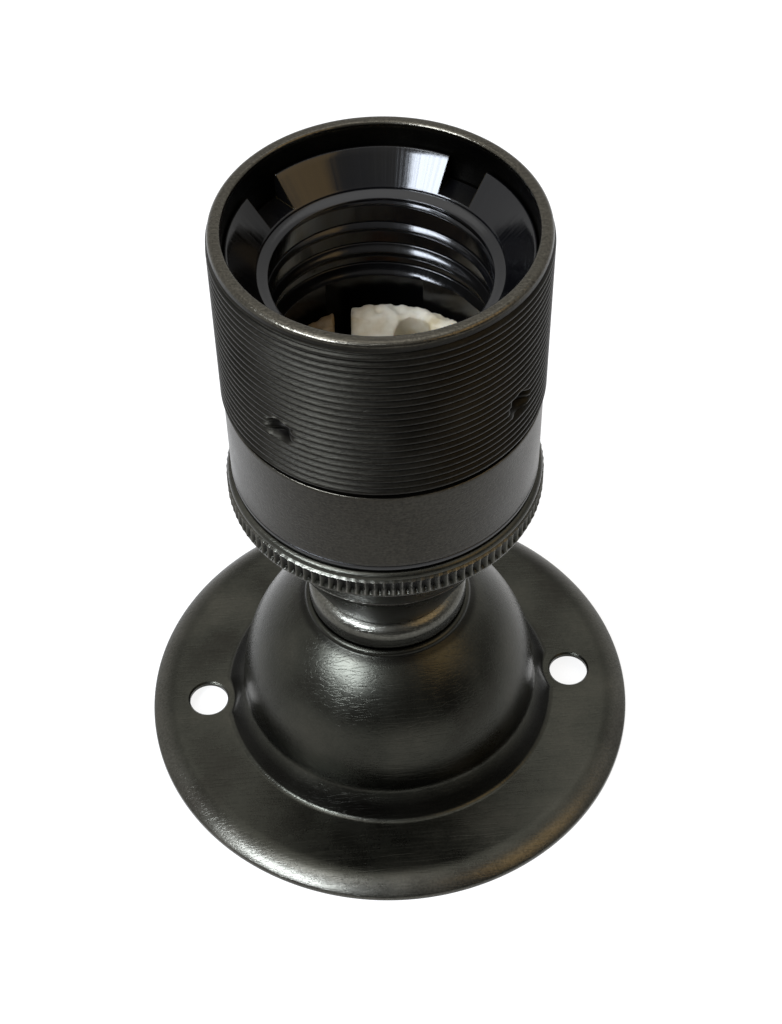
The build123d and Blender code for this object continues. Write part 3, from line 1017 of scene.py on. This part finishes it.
@dataclass
class Rose:
    """Spun rose: rolled rim, flange, dome, ridge ring and crown."""

    sheet: float = 0.7
    rim: float = 32.7
    flange: float = 2.2
    lip: float = 5.2
    lip_lean: float = 43.0
    lip_edge: float = 0.5
    dome: float = 19.7
    dome_centre: float = 6.3
    flare: float = 54.0
    flare_bend: float = 1.8
    foot: float = 0.9
    crown: float = CROWN
    bore: float = 5.1
    ridge: float = 10.2
    ridge_round: float = 0.56
    ridge_rise: float = 0.35
    screw_circle: float = 25.0
    screw_hole: float = 2.6
    burr: float = 0.22
    head_room: float = 3.4
    # Painted shade: the groove's radius, half width and strength, and the top of the dark band at
    # the dome's foot
    groove: float = 11.1
    groove_half: float = 0.8
    groove_shade: float = 0.9
    foot_shade_top: float = 5.6
    rubbed_from: float = 29.8
    segments: int = 288

    def skin(self, depth: float, step: float) -> list[Point]:
        """Outline of a skin this deep under the face, from crown to rim.

        Args:
            depth: how deep it lies.
            step: longest run on the curves.

        Returns:
            The points.
        """
        radius, flange = self.dome - depth, self.flange - depth
        shoulder = math.degrees(math.asin((self.crown - depth - self.dome_centre) / radius))
        points = arc((0.0, self.dome_centre), radius, shoulder, 0, step)
        lean = 90 - self.flare
        upper = self.flare_bend + depth
        points += arc((radius + upper, self.dome_centre), upper, 180, 180 + lean, step / 2)
        lower = self.foot + depth
        start = points[-1]
        fall = start[1] - flange - lower * (1 - math.sin(math.radians(lean)))
        side = start[0] + fall * math.tan(math.radians(lean))
        centre = (side + lower * math.cos(math.radians(lean)), flange + lower)
        points += arc(centre, lower, 180 + lean, 270, step / 4)
        across = math.radians(90 - self.lip_lean)
        outer = (self.rim - self.lip_edge, self.flange - self.lip * (1 - math.sin(across)))
        outer = (outer[0], outer[1] - self.lip_edge * math.sin(across))
        gap = self.lip - self.lip_edge
        inner = (outer[0] - gap * math.cos(across), self.flange - self.lip)
        points += arc(inner, self.lip - depth, 90, 90 - self.lip_lean, step / 2)
        points += arc(outer, max(self.lip_edge - depth, 0.05), 90 - self.lip_lean, 0, step / 4)
        return points

    def wear_and_shade_added(self, radius: float, height: float) -> float:
        """Wear of the lip, and painted shade in the groove beside the ridge and at the dome's foot.

        Args:
            radius: the point's radius.
            height: its height.

        Returns:
            What is added to its wear.
        """
        if height > self.crown - 1.5:
            # Painted shade in the groove outside the ridge bead
            return -self.groove_shade * eased(1 - abs(radius - self.groove) / self.groove_half)
        if radius < self.dome - 1.5 or height > self.dome_centre + 1:
            return 0.0
        # Painted shade: a dark band at the dome's foot, just above the flange
        dark = eased((height - self.flange - 0.15) / 0.3) * eased((self.foot_shade_top - height) / 1.8)
        return 0.25 * eased((radius - self.rubbed_from) / 2) - dark

    def pocket_wall(self, radius: float, height: float, angle: float) -> Point:
        """Draws the dome's foot back round each screw head.

        Args:
            radius: the point's radius.
            height: its height.
            angle: its angle in radians.

        Returns:
            The point's radius and height.
        """
        turn = math.remainder(angle, math.pi)
        inside = height < self.flange - 0.01 or radius < self.bore + 0.5
        room = self.head_room + (self.sheet if inside else 0.0)
        across = self.screw_circle * math.sin(turn)
        if abs(across) < room and radius < self.screw_circle and height < self.dome_centre:
            wall = self.screw_circle * math.cos(turn) - math.sqrt(room**2 - across**2)
            radius = smallest(radius, wall, 2.0)
        return radius, height

    def build(self) -> bpy.types.Object:
        """Makes the piece.

        Returns:
            The rose.
        """
        crown = self.crown
        outer = [(self.bore, crown), (self.ridge - 0.75, crown)]
        outer += arc((self.ridge, crown + self.ridge_rise), self.ridge_round, 210, -10, 0.1)
        for radius in (self.ridge + 0.62, self.ridge + 0.74):
            outer.append((radius, self.dome_centre + math.sqrt(self.dome**2 - radius**2)))
        outer += self.skin(0.0, 0.3)[1:]
        bottom = [(self.rim, 0.12), (self.rim - 0.12, 0.0), (self.rim - self.sheet, 0.0)]
        inner = list(reversed(self.skin(self.sheet, 0.9)))
        outline = refined(outer + bottom + inner + [(self.bore, crown - self.sheet)], 0.9)
        rose = Spun("spun_rose", outline, self.segments, self.pocket_wall).build()
        hole, face = self.screw_hole, self.flange
        profile = [
            (hole + 0.02, -1.0), (hole, face - self.sheet), (hole, face - self.burr),
            (hole + self.burr, face), (hole + 0.3, face + 1.0),
        ]
        holes = [plug(profile, standing(turn, self.screw_circle)) for turn in (0.0, 180.0)]
        rose = carved(rose, holes)
        mark_wear_and_shade(rose, 0.3, 6.0, 0.3, self.wear_and_shade_added)
        return fitted(rose, "backplate", Body.HOLDER, PATINA)


@dataclass
class CollarRing:
    """Turned collar between the rose and the cap."""

    bore: float = 5.1
    base: float = CROWN
    foot: float = 9.4
    foot_top: float = 23.55
    radius: float = 10.15
    top: float = COLLAR_TOP
    shoulder: float = 2.0
    rubbed_above: float = 25.2

    def wear_and_shade_added(self, radius: float, height: float) -> float:
        """Wear of its round shoulder."""
        return 0.3 * eased(height - self.rubbed_above)

    def build(self) -> bpy.types.Object:
        """Makes the piece.

        Returns:
            The collar.
        """
        corners = [
            (self.bore, self.base, 0.1), (self.foot, self.base, 0.1),
            (self.foot, self.foot_top, 0.2), (self.radius, self.foot_top, 0.5),
            (self.radius, self.top, self.shoulder), (self.bore, self.top, 0.1),
        ]
        collar = Spun("turned_collar", refined(rounded(corners, 0.12), 0.7), 192).build()
        mark_wear_and_shade(collar, 0.1, 1.2, 0.5, self.wear_and_shade_added)
        return fitted(collar, "neck_collar", Body.HOLDER, HANDLED)


@dataclass
class Cap:
    """Turned conical cap with a milled rim."""

    entry: float = 5.0
    base: float = COLLAR_TOP
    neck: float = 9.0
    waist: Point = (13.55, 37.2)
    flare: Point = (18.55, 45.2)
    rim: float = 18.95
    milling_low: float = 45.85
    milling_high: float = 48.3
    milling: float = 19.12
    milling_depth: float = 0.5
    furrow_dark: float = 0.9
    teeth: int = 111
    shoulder: float = 49.35
    top: float = CAP_TOP
    land: float = 17.6
    thread: float = 16.4
    thread_floor: float = 45.3
    bore: float = 15.2
    ledge: float = 42.3
    ledge_radius: float = 13.2
    chamber_top: float = 40.4
    chamber_radius: float = 10.9
    floor: float = 35.2
    grub_height: float = 32.4
    grub: float = 1.5

    def wear_and_shade_added(self, radius: float, height: float) -> float:
        """Less wear in the milling's furrows, where the dark patina stays.

        Args:
            radius: the point's radius.
            height: its height.

        Returns:
            What is added to its wear.
        """
        if not self.milling_low < height < self.milling_high or radius < self.rim - 0.5:
            return 0.0
        return -self.furrow_dark * eased((self.milling - 0.1 - radius) / 0.25)

    def tooth(self, radius: float, height: float, angle: float) -> Point:
        """Presses the milling's furrows into the rim, running out at both ends.

        Args:
            radius: the point's radius.
            height: its height.
            angle: its angle in radians.

        Returns:
            The point's radius and height.
        """
        if radius < self.rim - 0.2 or not self.milling_low < height < self.milling_high:
            return radius, height
        turn = (angle / (2 * math.pi) * self.teeth) % 1.0
        depth = abs(2 * turn - 1) ** 0.8
        ends = min(height - self.milling_low, self.milling_high - height)
        wander = 0.04 * noise.noise(Vector((math.cos(angle) * 6, math.sin(angle) * 6, height)))
        return radius - self.milling_depth * depth * eased(ends / 0.6) + wander, height

    def build(self) -> bpy.types.Object:
        """Makes the piece.

        Returns:
            The cap.
        """
        low, high = self.milling_low, self.milling_high
        waist, line = self.waist
        corners = [
            (self.entry, self.base, 0.0), (self.neck, self.base, 0.3),
            (waist - 0.02, line - 0.2, 0.1), (waist - 0.25, line, 0.06),
            (waist + 0.06, line + 0.2, 0.1), (*self.flare, 0.2),
            (self.rim, self.flare[1] + 0.4, 0.1), (self.rim, low - 0.05, 0.0),
            (self.milling, low + 0.15, 0.0), (self.milling, low + 0.5, 0.0),
            (self.milling, high - 0.5, 0.0), (self.milling, high - 0.15, 0.0),
            (self.rim - 0.15, high + 0.08, 0.0), (self.rim - 0.15, high + 0.2, 0.0),
            (self.rim, high + 0.3, 0.02), (self.rim, self.shoulder, 0.7),
            (self.land, self.shoulder, 0.06), (self.land, self.top, 0.1),
            (self.thread, self.top, 0.2), (self.thread, self.thread_floor, 0.0),
            (self.bore, self.thread_floor, 0.1), (self.bore, self.ledge, 0.0),
            (self.ledge_radius, self.ledge, 0.1), (self.ledge_radius, self.chamber_top, 0.3),
            (self.chamber_radius, self.floor + 0.9, 0.3), (self.chamber_radius, self.floor, 0.3),
            (self.entry, self.floor, 0.0),
        ]
        outline = refined(rounded(corners, 0.15), 1.4)
        cap = Spun("turned_cap", outline, self.teeth * 8, self.tooth).build()
        lift = Matrix.Translation((0, 0, self.grub_height))
        sideways = lift @ Matrix.Rotation(-math.pi / 2, 4, "X")
        hole = plug([(self.grub, 3.0), (self.grub, 11.0), (self.grub + 0.2, 14.0)], sideways)
        cap = carved(cap, [hole])
        mark_wear_and_shade(cap, 0.3, 3.0, 0.6, self.wear_and_shade_added)
        return fitted(cap, "holder_cap", Body.HOLDER, PATINA)


@dataclass
class Skirt:
    """Threaded skirt: plain band, relief groove, fine thread and four punched dimples."""

    low: float = FLANGE_TOP
    high: float = 85.5
    radius: float = 18.45
    bore: float = 17.0
    band_top: float = 62.1
    groove: float = 17.9
    thread_low: float = 62.7
    thread_high: float = 84.44
    crest: float = 18.72
    root: float = 18.27
    pitch: float = 0.97
    phase: float = 0.309
    fade: float = 0.3
    dimple_height: float = DIMPLE_HEIGHT
    dimple: float = 1.9
    dimple_depth: float = 1.3
    dimple_turn: float = 48.0
    # Strength of the painted shade inside the dimples
    dimple_shade: float = 1.25
    rim_wear: float = 0.5
    band_wear: float = 0.18
    segments: int = 320

    def wear_and_shade_added(self, radius: float, height: float) -> float:
        """Wear of the rim, knocked by lamps, and of the band; painted shade darkens the dimples.

        Args:
            radius: the point's radius.
            height: its height.

        Returns:
            What is added to its wear.
        """
        # Painted shade inside the punched dimples
        if abs(height - self.dimple_height) < self.dimple and radius > self.bore:
            return -self.dimple_shade * eased((18.1 - radius) / 0.35)
        if height < self.band_top:
            return self.band_wear
        return self.rim_wear * eased((height - self.high + 0.6) / 0.3)

    def punched(self, radius: float, height: float, angle: float) -> Point:
        """Pushes the wall in at the four dimples.

        Args:
            radius: the point's radius.
            height: its height.
            angle: its angle in radians.

        Returns:
            The point's radius and height.
        """
        turn = math.remainder(angle - math.radians(self.dimple_turn), math.pi / 2)
        off = math.hypot(self.radius * turn, height - self.dimple_height)
        if off < self.dimple:
            inner = radius < (self.bore + self.root) / 2
            push = (1 - (off / self.dimple) ** 2) ** 1.5 * self.dimple_depth
            radius -= push * (0.8 if inner else 1.0)
        return radius, height

    def build(self) -> bpy.types.Object:
        """Makes the piece.

        Returns:
            The skirt.
        """
        corners = [
            (self.radius, self.thread_high, 0.0),
            (self.radius + 0.05, self.thread_high + 0.25, 0.0),
            (self.radius - 0.05, self.high, 0.6), (self.bore, self.high, 0.35),
            (self.bore, self.low, 0.15), (self.radius, self.low, 0.15),
            (self.radius, self.band_top, 0.12), (self.groove, self.band_top, 0.0),
            (self.groove, self.thread_low, 0.0),
        ]
        outline = rounded(corners, 0.08)
        outline = refined(outline + [outline[-1]], 0.45)
        share = self.crest - self.root
        form = tuple(self.root + share * part for part in (0.0, 0.4, 0.9, 1.0, 0.9, 0.4))
        thread = Thread(
            self.thread_low, self.thread_high, self.pitch, form, self.groove, self.radius,
            self.phase, self.fade,
        )
        skirt = Spun(
            "threaded_skirt", outline, self.segments, self.punched, closed=False, thread=thread
        ).build()
        mark_wear_and_shade(skirt, 0.3, 5.0, 0.3, self.wear_and_shade_added)
        return fitted(skirt, "outer_skirt", Body.SOCKET, THREADED_DIRT_AND_SHADE, 50.0)


@dataclass
class Liner:
    """Black moulded liner: flange, lamp thread, lip and the four-notched funnel."""

    base: float = 45.5
    lower: float = 14.2
    thread_wall: float = 16.2
    cap_top: float = CAP_TOP
    flange: float = 18.45
    flange_top: float = FLANGE_TOP
    radius: float = 16.8
    top: float = 82.5
    ledge: float = 79.2
    lip: float = 13.6
    lip_top: float = 78.4
    crest: float = 12.2
    root: float = 13.3
    pitch: float = 3.629
    thread_high: float = 78.1
    phase: float = 0.91
    fade: float = 0.4
    wave: float = 0.36
    rib: float = 0.3
    rib_width: float = 0.16
    window_top: float = 66.3
    window: float = 15.4
    window_width: float = 48.0
    window_turn: float = 89.4
    notch_width: float = 17.4
    notch_turn: float = 48.4
    pocket_height: float = DIMPLE_HEIGHT
    pocket: float = 2.2
    pocket_depth: float = 0.95
    segments: int = 240

    def crest_form(self, steps: int = 20) -> tuple[float, ...]:
        """Rounded lamp thread, its crest drawn out to a narrow rib.

        Args:
            steps: points in a pitch.

        Returns:
            The wall's radius at each of them.
        """
        form = []
        for i in range(steps):
            wave = self.wave * (1 + math.cos(2 * math.pi * i / steps))
            rib = self.rib * max(0.0, 1 - min(i, steps - i) / steps / self.rib_width) ** 1.2
            form.append(self.root - wave - rib)
        return tuple(form)

    def build(self) -> bpy.types.Object:
        """Makes the piece.

        Returns:
            The liner.
        """
        corners = [
            (self.root, self.window_top, 0.0), (self.lower, self.window_top, 0.0),
            (self.lower, self.base, 0.2), (self.thread_wall, self.base, 0.2),
            (self.thread_wall, self.cap_top, 0.0), (self.flange, self.cap_top, 0.12),
            (self.flange, self.flange_top, 0.12), (self.radius, self.flange_top, 0.0),
            (self.radius, self.top, 0.1), (self.radius - 0.3, self.top, 0.1),
            (self.lip + 0.1, self.ledge, 0.1), (self.lip - 0.02, self.ledge - 0.12, 0.03),
            (self.lip - 0.05, self.ledge - 0.36, 0.03), (self.crest, self.lip_top + 0.08, 0.12),
            (self.crest + 0.35, self.thread_high, 0.0),
        ]
        outline = rounded(corners, 0.1)
        outline = refined(outline + [outline[-1]], 0.8)
        thread = Thread(
            self.window_top, self.thread_high, self.pitch, self.crest_form(), self.root,
            self.crest + 0.35, self.phase, self.fade,
        )
        liner = Spun("liner_moulding", outline, self.segments, closed=False, thread=thread).build()
        turns = [self.notch_turn + 90 * i for i in range(4)]
        cutters = [
            wedge(self.lip, self.radius + 1.7, self.ledge, self.top + 1, turn, self.notch_width)
            for turn in turns
        ]
        cutters += [
            wedge(11.0, self.window, self.base - 1, self.window_top - 0.02, turn, self.window_width)
            for turn in (self.window_turn, self.window_turn + 180)
        ]
        for turn in turns:
            place = standing(turn, self.radius - self.pocket_depth)
            place = place @ Matrix.Translation((0, 0, self.pocket_height))
            place = place @ Matrix.Rotation(math.pi / 2, 4, "Y")
            cutters.append(plug([(self.pocket - 0.2, 0.0), (self.pocket, 2.0)], place))
        liner = carved(liner, cutters)
        return fitted(liner, "liner", Body.SOCKET, PHENOLIC)


@dataclass
class PorcelainCore:
    """Porcelain interior: flange, drum, dished top, wells, slots and wire notches."""

    turn: float = -4.25
    live: float = LIVE_TURN
    neutral: float = NEUTRAL_TURN
    base: float = 42.3
    disc: float = 14.9
    disc_top: float = 45.5
    drum: float = 13.6
    top: float = DRUM_TOP
    dish: float = 11.2
    dish_floor: float = 56.2
    well: float = 6.0
    well_floor: float = WELL_FLOOR
    terminal: float = 10.1
    terminal_well: float = 2.2
    bar_top: float = BAR_TOP
    bar_width: float = 5.3
    bar_end: float = 16.0
    notch: float = 14.4
    notch_length: float = 4.0
    notch_width: float = 4.4
    foot: float = 11.6
    foot_length: float = 8.0
    foot_width: float = 5.8
    riser: float = 14.1
    riser_length: float = 4.3
    riser_width: float = 5.6
    screw: float = 3.6
    screw_hole: float = 1.4
    slot: float = 4.7
    slot_width: float = 1.3
    slot_wider: float = 0.7
    slot_length: float = 21.2
    slot_depth: float = 9.0
    chamfer_edge: float = -2.0
    chamfer_end: float = -4.2
    voxel: float = 0.25

    def build(self) -> bpy.types.Object:
        """Makes the piece.

        Returns:
            The porcelain.
        """
        corners = [
            (0.0, self.base, 0.0), (self.disc, self.base, 0.3), (self.disc, self.disc_top, 0.2),
            (self.drum, self.disc_top, 0.0), (self.drum, self.top, 0.5),
            (self.dish, self.top, 0.5), (self.well, self.dish_floor, 0.3),
            (self.well, self.well_floor, 0.0), (0.0, self.well_floor, 0.0),
        ]
        outline = rounded(corners, 0.2)
        core = Spun("porcelain_core", refined(outline, 1.0), 160, closed=False).build()
        low, high = self.bar_top, self.top
        for turn, inner in ((self.live, 0.0), (self.neutral, self.terminal - 2.5)):
            length = self.bar_end - inner
            pocket = standing(turn, inner + length / 2)
            core = carved(core, [block(pocket, length, self.bar_width, self.disc_top, low)])
            well = [(self.terminal_well, low - 0.5), (self.terminal_well, high + 1)]
            core = carved(core, [
                plug(well, standing(turn, self.terminal - 0.4)),
                block(
                    standing(turn, self.notch), self.notch_length, self.notch_width,
                    self.base - 1, self.disc_top + 0.5,
                ),
            ])
        foot = standing(self.neutral, self.foot)
        core = carved(core, [block(foot, self.foot_length, self.foot_width, low - 0.17, low + 0.9)])
        riser = standing(self.neutral, self.riser)
        riser = block(riser, self.riser_length, self.riser_width, low - 0.1, high + 1.7)
        core = carved(core, [riser])
        hole = [(self.screw_hole, self.disc_top + 0.23), (self.screw_hole, self.well_floor + 1)]
        core = carved(core, [plug(hole, standing(self.live, self.screw))])
        spin = Matrix.Rotation(math.radians(self.turn), 4, "Z")
        for side in (-1, 1):
            width = self.slot_width + (self.slot_wider if side < 0 else 0.0)
            place = spin @ Matrix.Translation((side * self.slot, -side * self.drum, 0))
            slot = block(place, width, self.slot_length, high - self.slot_depth, high + 1.3)
            core = carved(core, [slot])
        remesh = core.modifiers.new("fired", "REMESH")
        remesh.mode = "VOXEL"
        remesh.voxel_size = self.voxel * MM
        settle(core)
        self.fire(core)
        return fitted(core, "porcelain_interior", Body.HOLDER, BISQUE, 60.0)

    def fire(self, core: bpy.types.Object) -> None:
        """Rounds the edges and roughens the upper ones, as pressing and firing do.

        Args:
            core: the porcelain.
        """
        smooth = core.modifiers.new("smooth", "SMOOTH")
        smooth.factor = 0.5
        smooth.iterations = 3
        settle(core)
        for vertex in core.data.vertices:
            spot = vertex.co / MM
            beside = self.chamfer_end < spot.x < self.chamfer_edge < spot.y
            if beside and spot.z > self.dish_floor - 1:
                spot.z -= (self.chamfer_edge - spot.x) * eased((11.5 - spot.y) / 3.5)
                vertex.co = spot * MM
            radius = math.hypot(spot.x, spot.y)
            upper = eased((spot.z - self.top + 1.2) / 1.0)
            chip = noise.noise(spot * 0.9) + 0.5 * noise.noise(spot * 2.3)
            if radius < self.drum + 0.4 and upper > 0:
                spot.z -= upper * max(0.0, 0.12 + 0.4 * chip)
                vertex.co = spot * MM


@dataclass
class Strip:
    """A strip bent along a path in the upright plane at a turn."""

    name: str
    turn: float
    path: list[tuple[float, float, float]]
    width: float
    thickness: float

    def build(self) -> bpy.types.Object:
        """Makes the strip with eased edges.

        Returns:
            The strip.
        """
        line = self.bent()
        rings = []
        edge = self.thickness * 0.3
        half, depth = self.width / 2, self.thickness / 2
        section = [
            (-half + edge, -depth), (half - edge, -depth), (half, -depth + edge),
            (half, depth - edge), (half - edge, depth), (-half + edge, depth),
            (-half, depth - edge), (-half, -depth + edge),
        ]
        spin = Matrix.Rotation(math.radians(self.turn), 4, "Z")
        for i, point in enumerate(line):
            before, after = line[max(i - 1, 0)], line[min(i + 1, len(line) - 1)]
            run = (after - before).normalized()
            across = Vector((-run.y, run.x))
            rings.append([
                spin @ Vector((point.x + across.x * v, u, point.y + across.y * v))
                for u, v in section
            ])
        return stacked(self.name, rings)

    def bent(self) -> list[Vector]:
        """The path's points, its inner corners rounded.

        Returns:
            The points.
        """
        line = [Vector(self.path[0][:2])]
        for before, here, after in zip(self.path, self.path[1:], self.path[2:]):
            corner = rounded([(*before[:2], 0.0), here, (*after[:2], 0.0)], 0.12)
            line += [Vector(point) for point in corner[1:-1]]
        line.append(Vector(self.path[-1][:2]))
        return line


@dataclass
class Contacts:
    """Centre contact leaf, its riveted button and the side blade."""

    live: float = LIVE_TURN
    neutral: float = NEUTRAL_TURN
    floor: float = WELL_FLOOR
    leaf: float = 0.4
    leaf_width: float = 4.4
    rise: float = 3.6
    button: float = 1.8
    button_height: float = 0.9
    blade: float = 0.5
    blade_width: float = 5.0
    blade_line: float = 12.65
    bar_top: float = BAR_TOP
    drum_top: float = DRUM_TOP

    def build(self) -> list[bpy.types.Object]:
        """Makes the pieces.

        Returns:
            The leaf, the button and the blade.
        """
        base = self.floor + self.leaf / 2
        leaf = Strip(
            "centre_leaf", self.live,
            [(5.4, base, 0), (-3.6, base, 0.9), (-3.6, base + 2.4, 0.9),
             (0.0, base + self.rise, 0.9), (1.9, base + self.rise - 0.3, 0)],
            self.leaf_width, self.leaf,
        ).build()
        leaf = fitted(leaf, "centre_contact", Body.HOLDER, BRONZE)
        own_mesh(leaf)
        under = base + self.rise + self.leaf / 2
        corners = [
            (0.0, under - 0.75, 0.0), (0.8, under - 0.75, 0.1), (0.8, under, 0.0),
            (self.button, under, 0.1), (self.button, under + self.button_height, 0.7),
            (0.0, under + self.button_height, 0.0),
        ]
        outline = refined(rounded(corners, 0.08), 0.4)
        button = Spun("rivet_button", outline, 64, closed=False).build()
        button = fitted(button, "contact_button", Body.BUTTON, BRONZE)
        line, low = self.blade_line, self.bar_top + self.blade / 2
        blade = Strip(
            "side_blade", self.neutral,
            [(line - 3.9, low, 0), (line, low, 0.6), (line, self.drum_top - 2.3, 0.6),
             (line + 0.8, self.drum_top + 0.1, 0.6), (line + 0.1, self.drum_top + 3.0, 0.6),
             (line + 0.8, self.drum_top + 4.6, 0)],
            self.blade_width, self.blade,
        ).build()
        blade = fitted(blade, "side_contact", Body.BLADE, BRONZE)
        return [leaf, button, blade]


@dataclass
class Hardware:
    """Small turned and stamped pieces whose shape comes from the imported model."""

    edge: float = 0.08

    def dress(self) -> None:
        """Gives each node its finish and eased edges."""
        finishes = {
            ZINC: (
                "threaded_nipple", "lock_washer", "nipple_nut", "cap_grub_screw", "earth_screw",
                "live_terminal_screw", "neutral_terminal_screw", "centre_contact_screw",
            ),
            BRASS: ("earth_terminal", "live_terminal", "neutral_terminal"),
        }
        for finish, names in finishes.items():
            for name in names:
                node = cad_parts[name]
                node.data.materials.clear()
                node.data.materials.append(finish.material())
                weld = node.modifiers.new("weld", "WELD")
                weld.merge_threshold = 0.002 * MM
                ease = node.modifiers.new("ease", "BEVEL")
                ease.width = self.edge * MM
                ease.segments = 2
                ease.limit_method = "ANGLE"
                ease.angle_limit = math.radians(40)
                log.info("%s: %s", name, finish.title)


# Floor, light and camera


@dataclass
class Studio:
    """White floor, pale surroundings, soft lamps and the camera."""

    camera_place: Point = (-11.957, -156.36)
    camera_height: float = 220.726
    heading: float = 85.4021
    pitch: float = 49.2822
    roll: float = -0.989
    lens: float = 67.99
    front_level: float = 0.2
    back_level: float = 1.1
    gloss_level: float = 0.3
    paper_glow: float = 0.88
    paper: str = "#707070"
    wall_side: tuple[float, float, float] = (-0.25, 0.9, 0.4)

    def floor(self) -> None:
        """Makes the floor, white to the camera and to gloss, with the object's soft shadow."""
        mesh = bpy.data.meshes.new("floor")
        size = 3.0
        corners = [(-size, -size, 0), (size, -size, 0), (size, size, 0), (-size, size, 0)]
        mesh.from_pydata(corners, [], [(0, 1, 2, 3)])
        floor = new_object("floor", mesh)
        floor.location.z = -0.02 * MM
        material = bpy.data.materials.new("white paper")
        material.use_nodes = True
        tree = material.node_tree
        tree.nodes.clear()
        rays = add(tree, "ShaderNodeLightPath").outputs
        straight = (rays["Is Camera Ray"], rays["Is Glossy Ray"])
        seen = add(tree, "ShaderNodeMath", straight, operation="MAXIMUM").outputs[0]
        seen = add(
            tree, "ShaderNodeMath", (seen, rays["Is Transmission Ray"]), operation="MAXIMUM"
        ).outputs[0]
        strength = add(
            tree, "ShaderNodeMapRange", (seen, 0.0, 1.0, 0.0, self.paper_glow)
        ).outputs[0]
        glow = add(tree, "ShaderNodeEmission", ((1, 1, 1, 1), strength)).outputs[0]
        paper = add(tree, "ShaderNodeBsdfDiffuse", (linear(self.paper),)).outputs[0]
        both = add(tree, "ShaderNodeAddShader", (glow, paper)).outputs[0]
        add(tree, "ShaderNodeOutputMaterial", (both,))
        mesh.materials.append(material)

    def surroundings(self) -> None:
        """Makes the world: a white wall behind the object, falling off to a dim room in front.

        The camera and the holes' see-through rays meet it white all round.
        """
        world = bpy.data.worlds.new("studio")
        bpy.context.scene.world = world
        world.use_nodes = True
        tree = world.node_tree
        tree.nodes.clear()
        way = add(tree, "ShaderNodeTexCoord").outputs["Generated"]
        back = add(
            tree, "ShaderNodeVectorMath", (way, self.wall_side), operation="DOT_PRODUCT"
        ).outputs["Value"]
        room = add(
            tree, "ShaderNodeMapRange", (back, -0.7, 0.45, self.front_level, self.back_level)
        ).outputs[0]
        rays = add(tree, "ShaderNodeLightPath").outputs
        straight = (rays["Is Camera Ray"], rays["Is Transmission Ray"])
        seen = add(tree, "ShaderNodeMath", straight, operation="MAXIMUM").outputs[0]
        share = add(
            tree, "ShaderNodeMapRange", (rays["Is Glossy Ray"], 0.0, 1.0, 1 - self.gloss_level, 1.0)
        ).outputs[0]
        dimmed = add(tree, "ShaderNodeMath", (room, share), operation="MULTIPLY").outputs[0]
        strength = add(tree, "ShaderNodeMath", (dimmed, seen), operation="MAXIMUM").outputs[0]
        shine = add(tree, "ShaderNodeBackground", ((1, 1, 1, 1), strength)).outputs[0]
        add(tree, "ShaderNodeOutputWorld", (shine,))

    def lamp(
        self, name: str, turn: float, rise: float, far: float, size: Point, power: float, tint: str
    ) -> None:
        """Area lamp that looks at the middle of the object.

        Args:
            name: its name.
            turn: direction in degrees round the axis.
            rise: degrees above the floor.
            far: distance in metres.
            size: width and height in metres.
            power: watts.
            tint: its colour as a hex value.
        """
        data = bpy.data.lights.new(name, "AREA")
        data.shape = "RECTANGLE"
        data.size, data.size_y = size
        data.energy = power
        data.color = linear(tint)[:3]
        lamp = bpy.data.objects.new(name, data)
        bpy.context.scene.collection.objects.link(lamp)
        across = math.cos(math.radians(rise)) * far
        target = Vector((0, 0, 0.045))
        height = math.sin(math.radians(rise)) * far
        lamp.location = target + around(across, height, math.radians(turn))
        lamp.rotation_euler = (target - lamp.location).to_track_quat("-Z", "Y").to_euler()

    def camera(self) -> None:
        """Sets the camera to the calibrated view."""
        heading, pitch, roll = (math.radians(v) for v in (self.heading, self.pitch, self.roll))
        level = math.cos(pitch)
        ahead = Vector((math.cos(heading) * level, math.sin(heading) * level, -math.sin(pitch)))
        right = Vector((math.sin(heading), -math.cos(heading), 0))
        up = right.cross(ahead)
        side = right * math.cos(roll) + up * math.sin(roll)
        top = up * math.cos(roll) - right * math.sin(roll)
        data = bpy.data.cameras.new("camera")
        data.sensor_width = 36.0
        data.lens = self.lens
        data.clip_start = 0.01
        camera = bpy.data.objects.new("camera", data)
        bpy.context.scene.collection.objects.link(camera)
        turn = Matrix((side, top, -ahead)).transposed().to_4x4()
        place = Vector((*self.camera_place, self.camera_height)) * MM
        camera.matrix_world = Matrix.Translation(place) @ turn
        bpy.context.scene.camera = camera

    def build(self) -> None:
        """Sets the whole studio up."""
        self.floor()
        self.surroundings()
        self.lamp("window", 219.0, 40.0, 0.9, (0.47, 0.24), 17.0, "#e8f1ff")
        self.lamp("warm_lamp", 330.0, 45.0, 0.8, (0.5, 0.4), 1.0, "#ffcf78")
        self.lamp("skylight", 212.0, 66.0, 1.0, (0.3, 0.3), 3.4, "#f2f6ff")
        self.lamp("ceiling", 90.0, 75.0, 1.2, (0.9, 0.9), 3.0, "#ffffff")
        self.camera()
        bpy.context.scene.view_settings.view_transform = "Standard"


def main() -> None:
    """Builds every sub-assembly in order."""
    logging.basicConfig(level=logging.INFO, format="%(name)s: %(message)s")
    parts = [
        Rose().build(), CollarRing().build(), Cap().build(), Skirt().build(), Liner().build(),
        PorcelainCore().build(), *Contacts().build(),
    ]
    Hardware().dress()
    Studio().build()
    log.info("%d pieces made", len(parts))


if __name__ == "__main__":
    main()
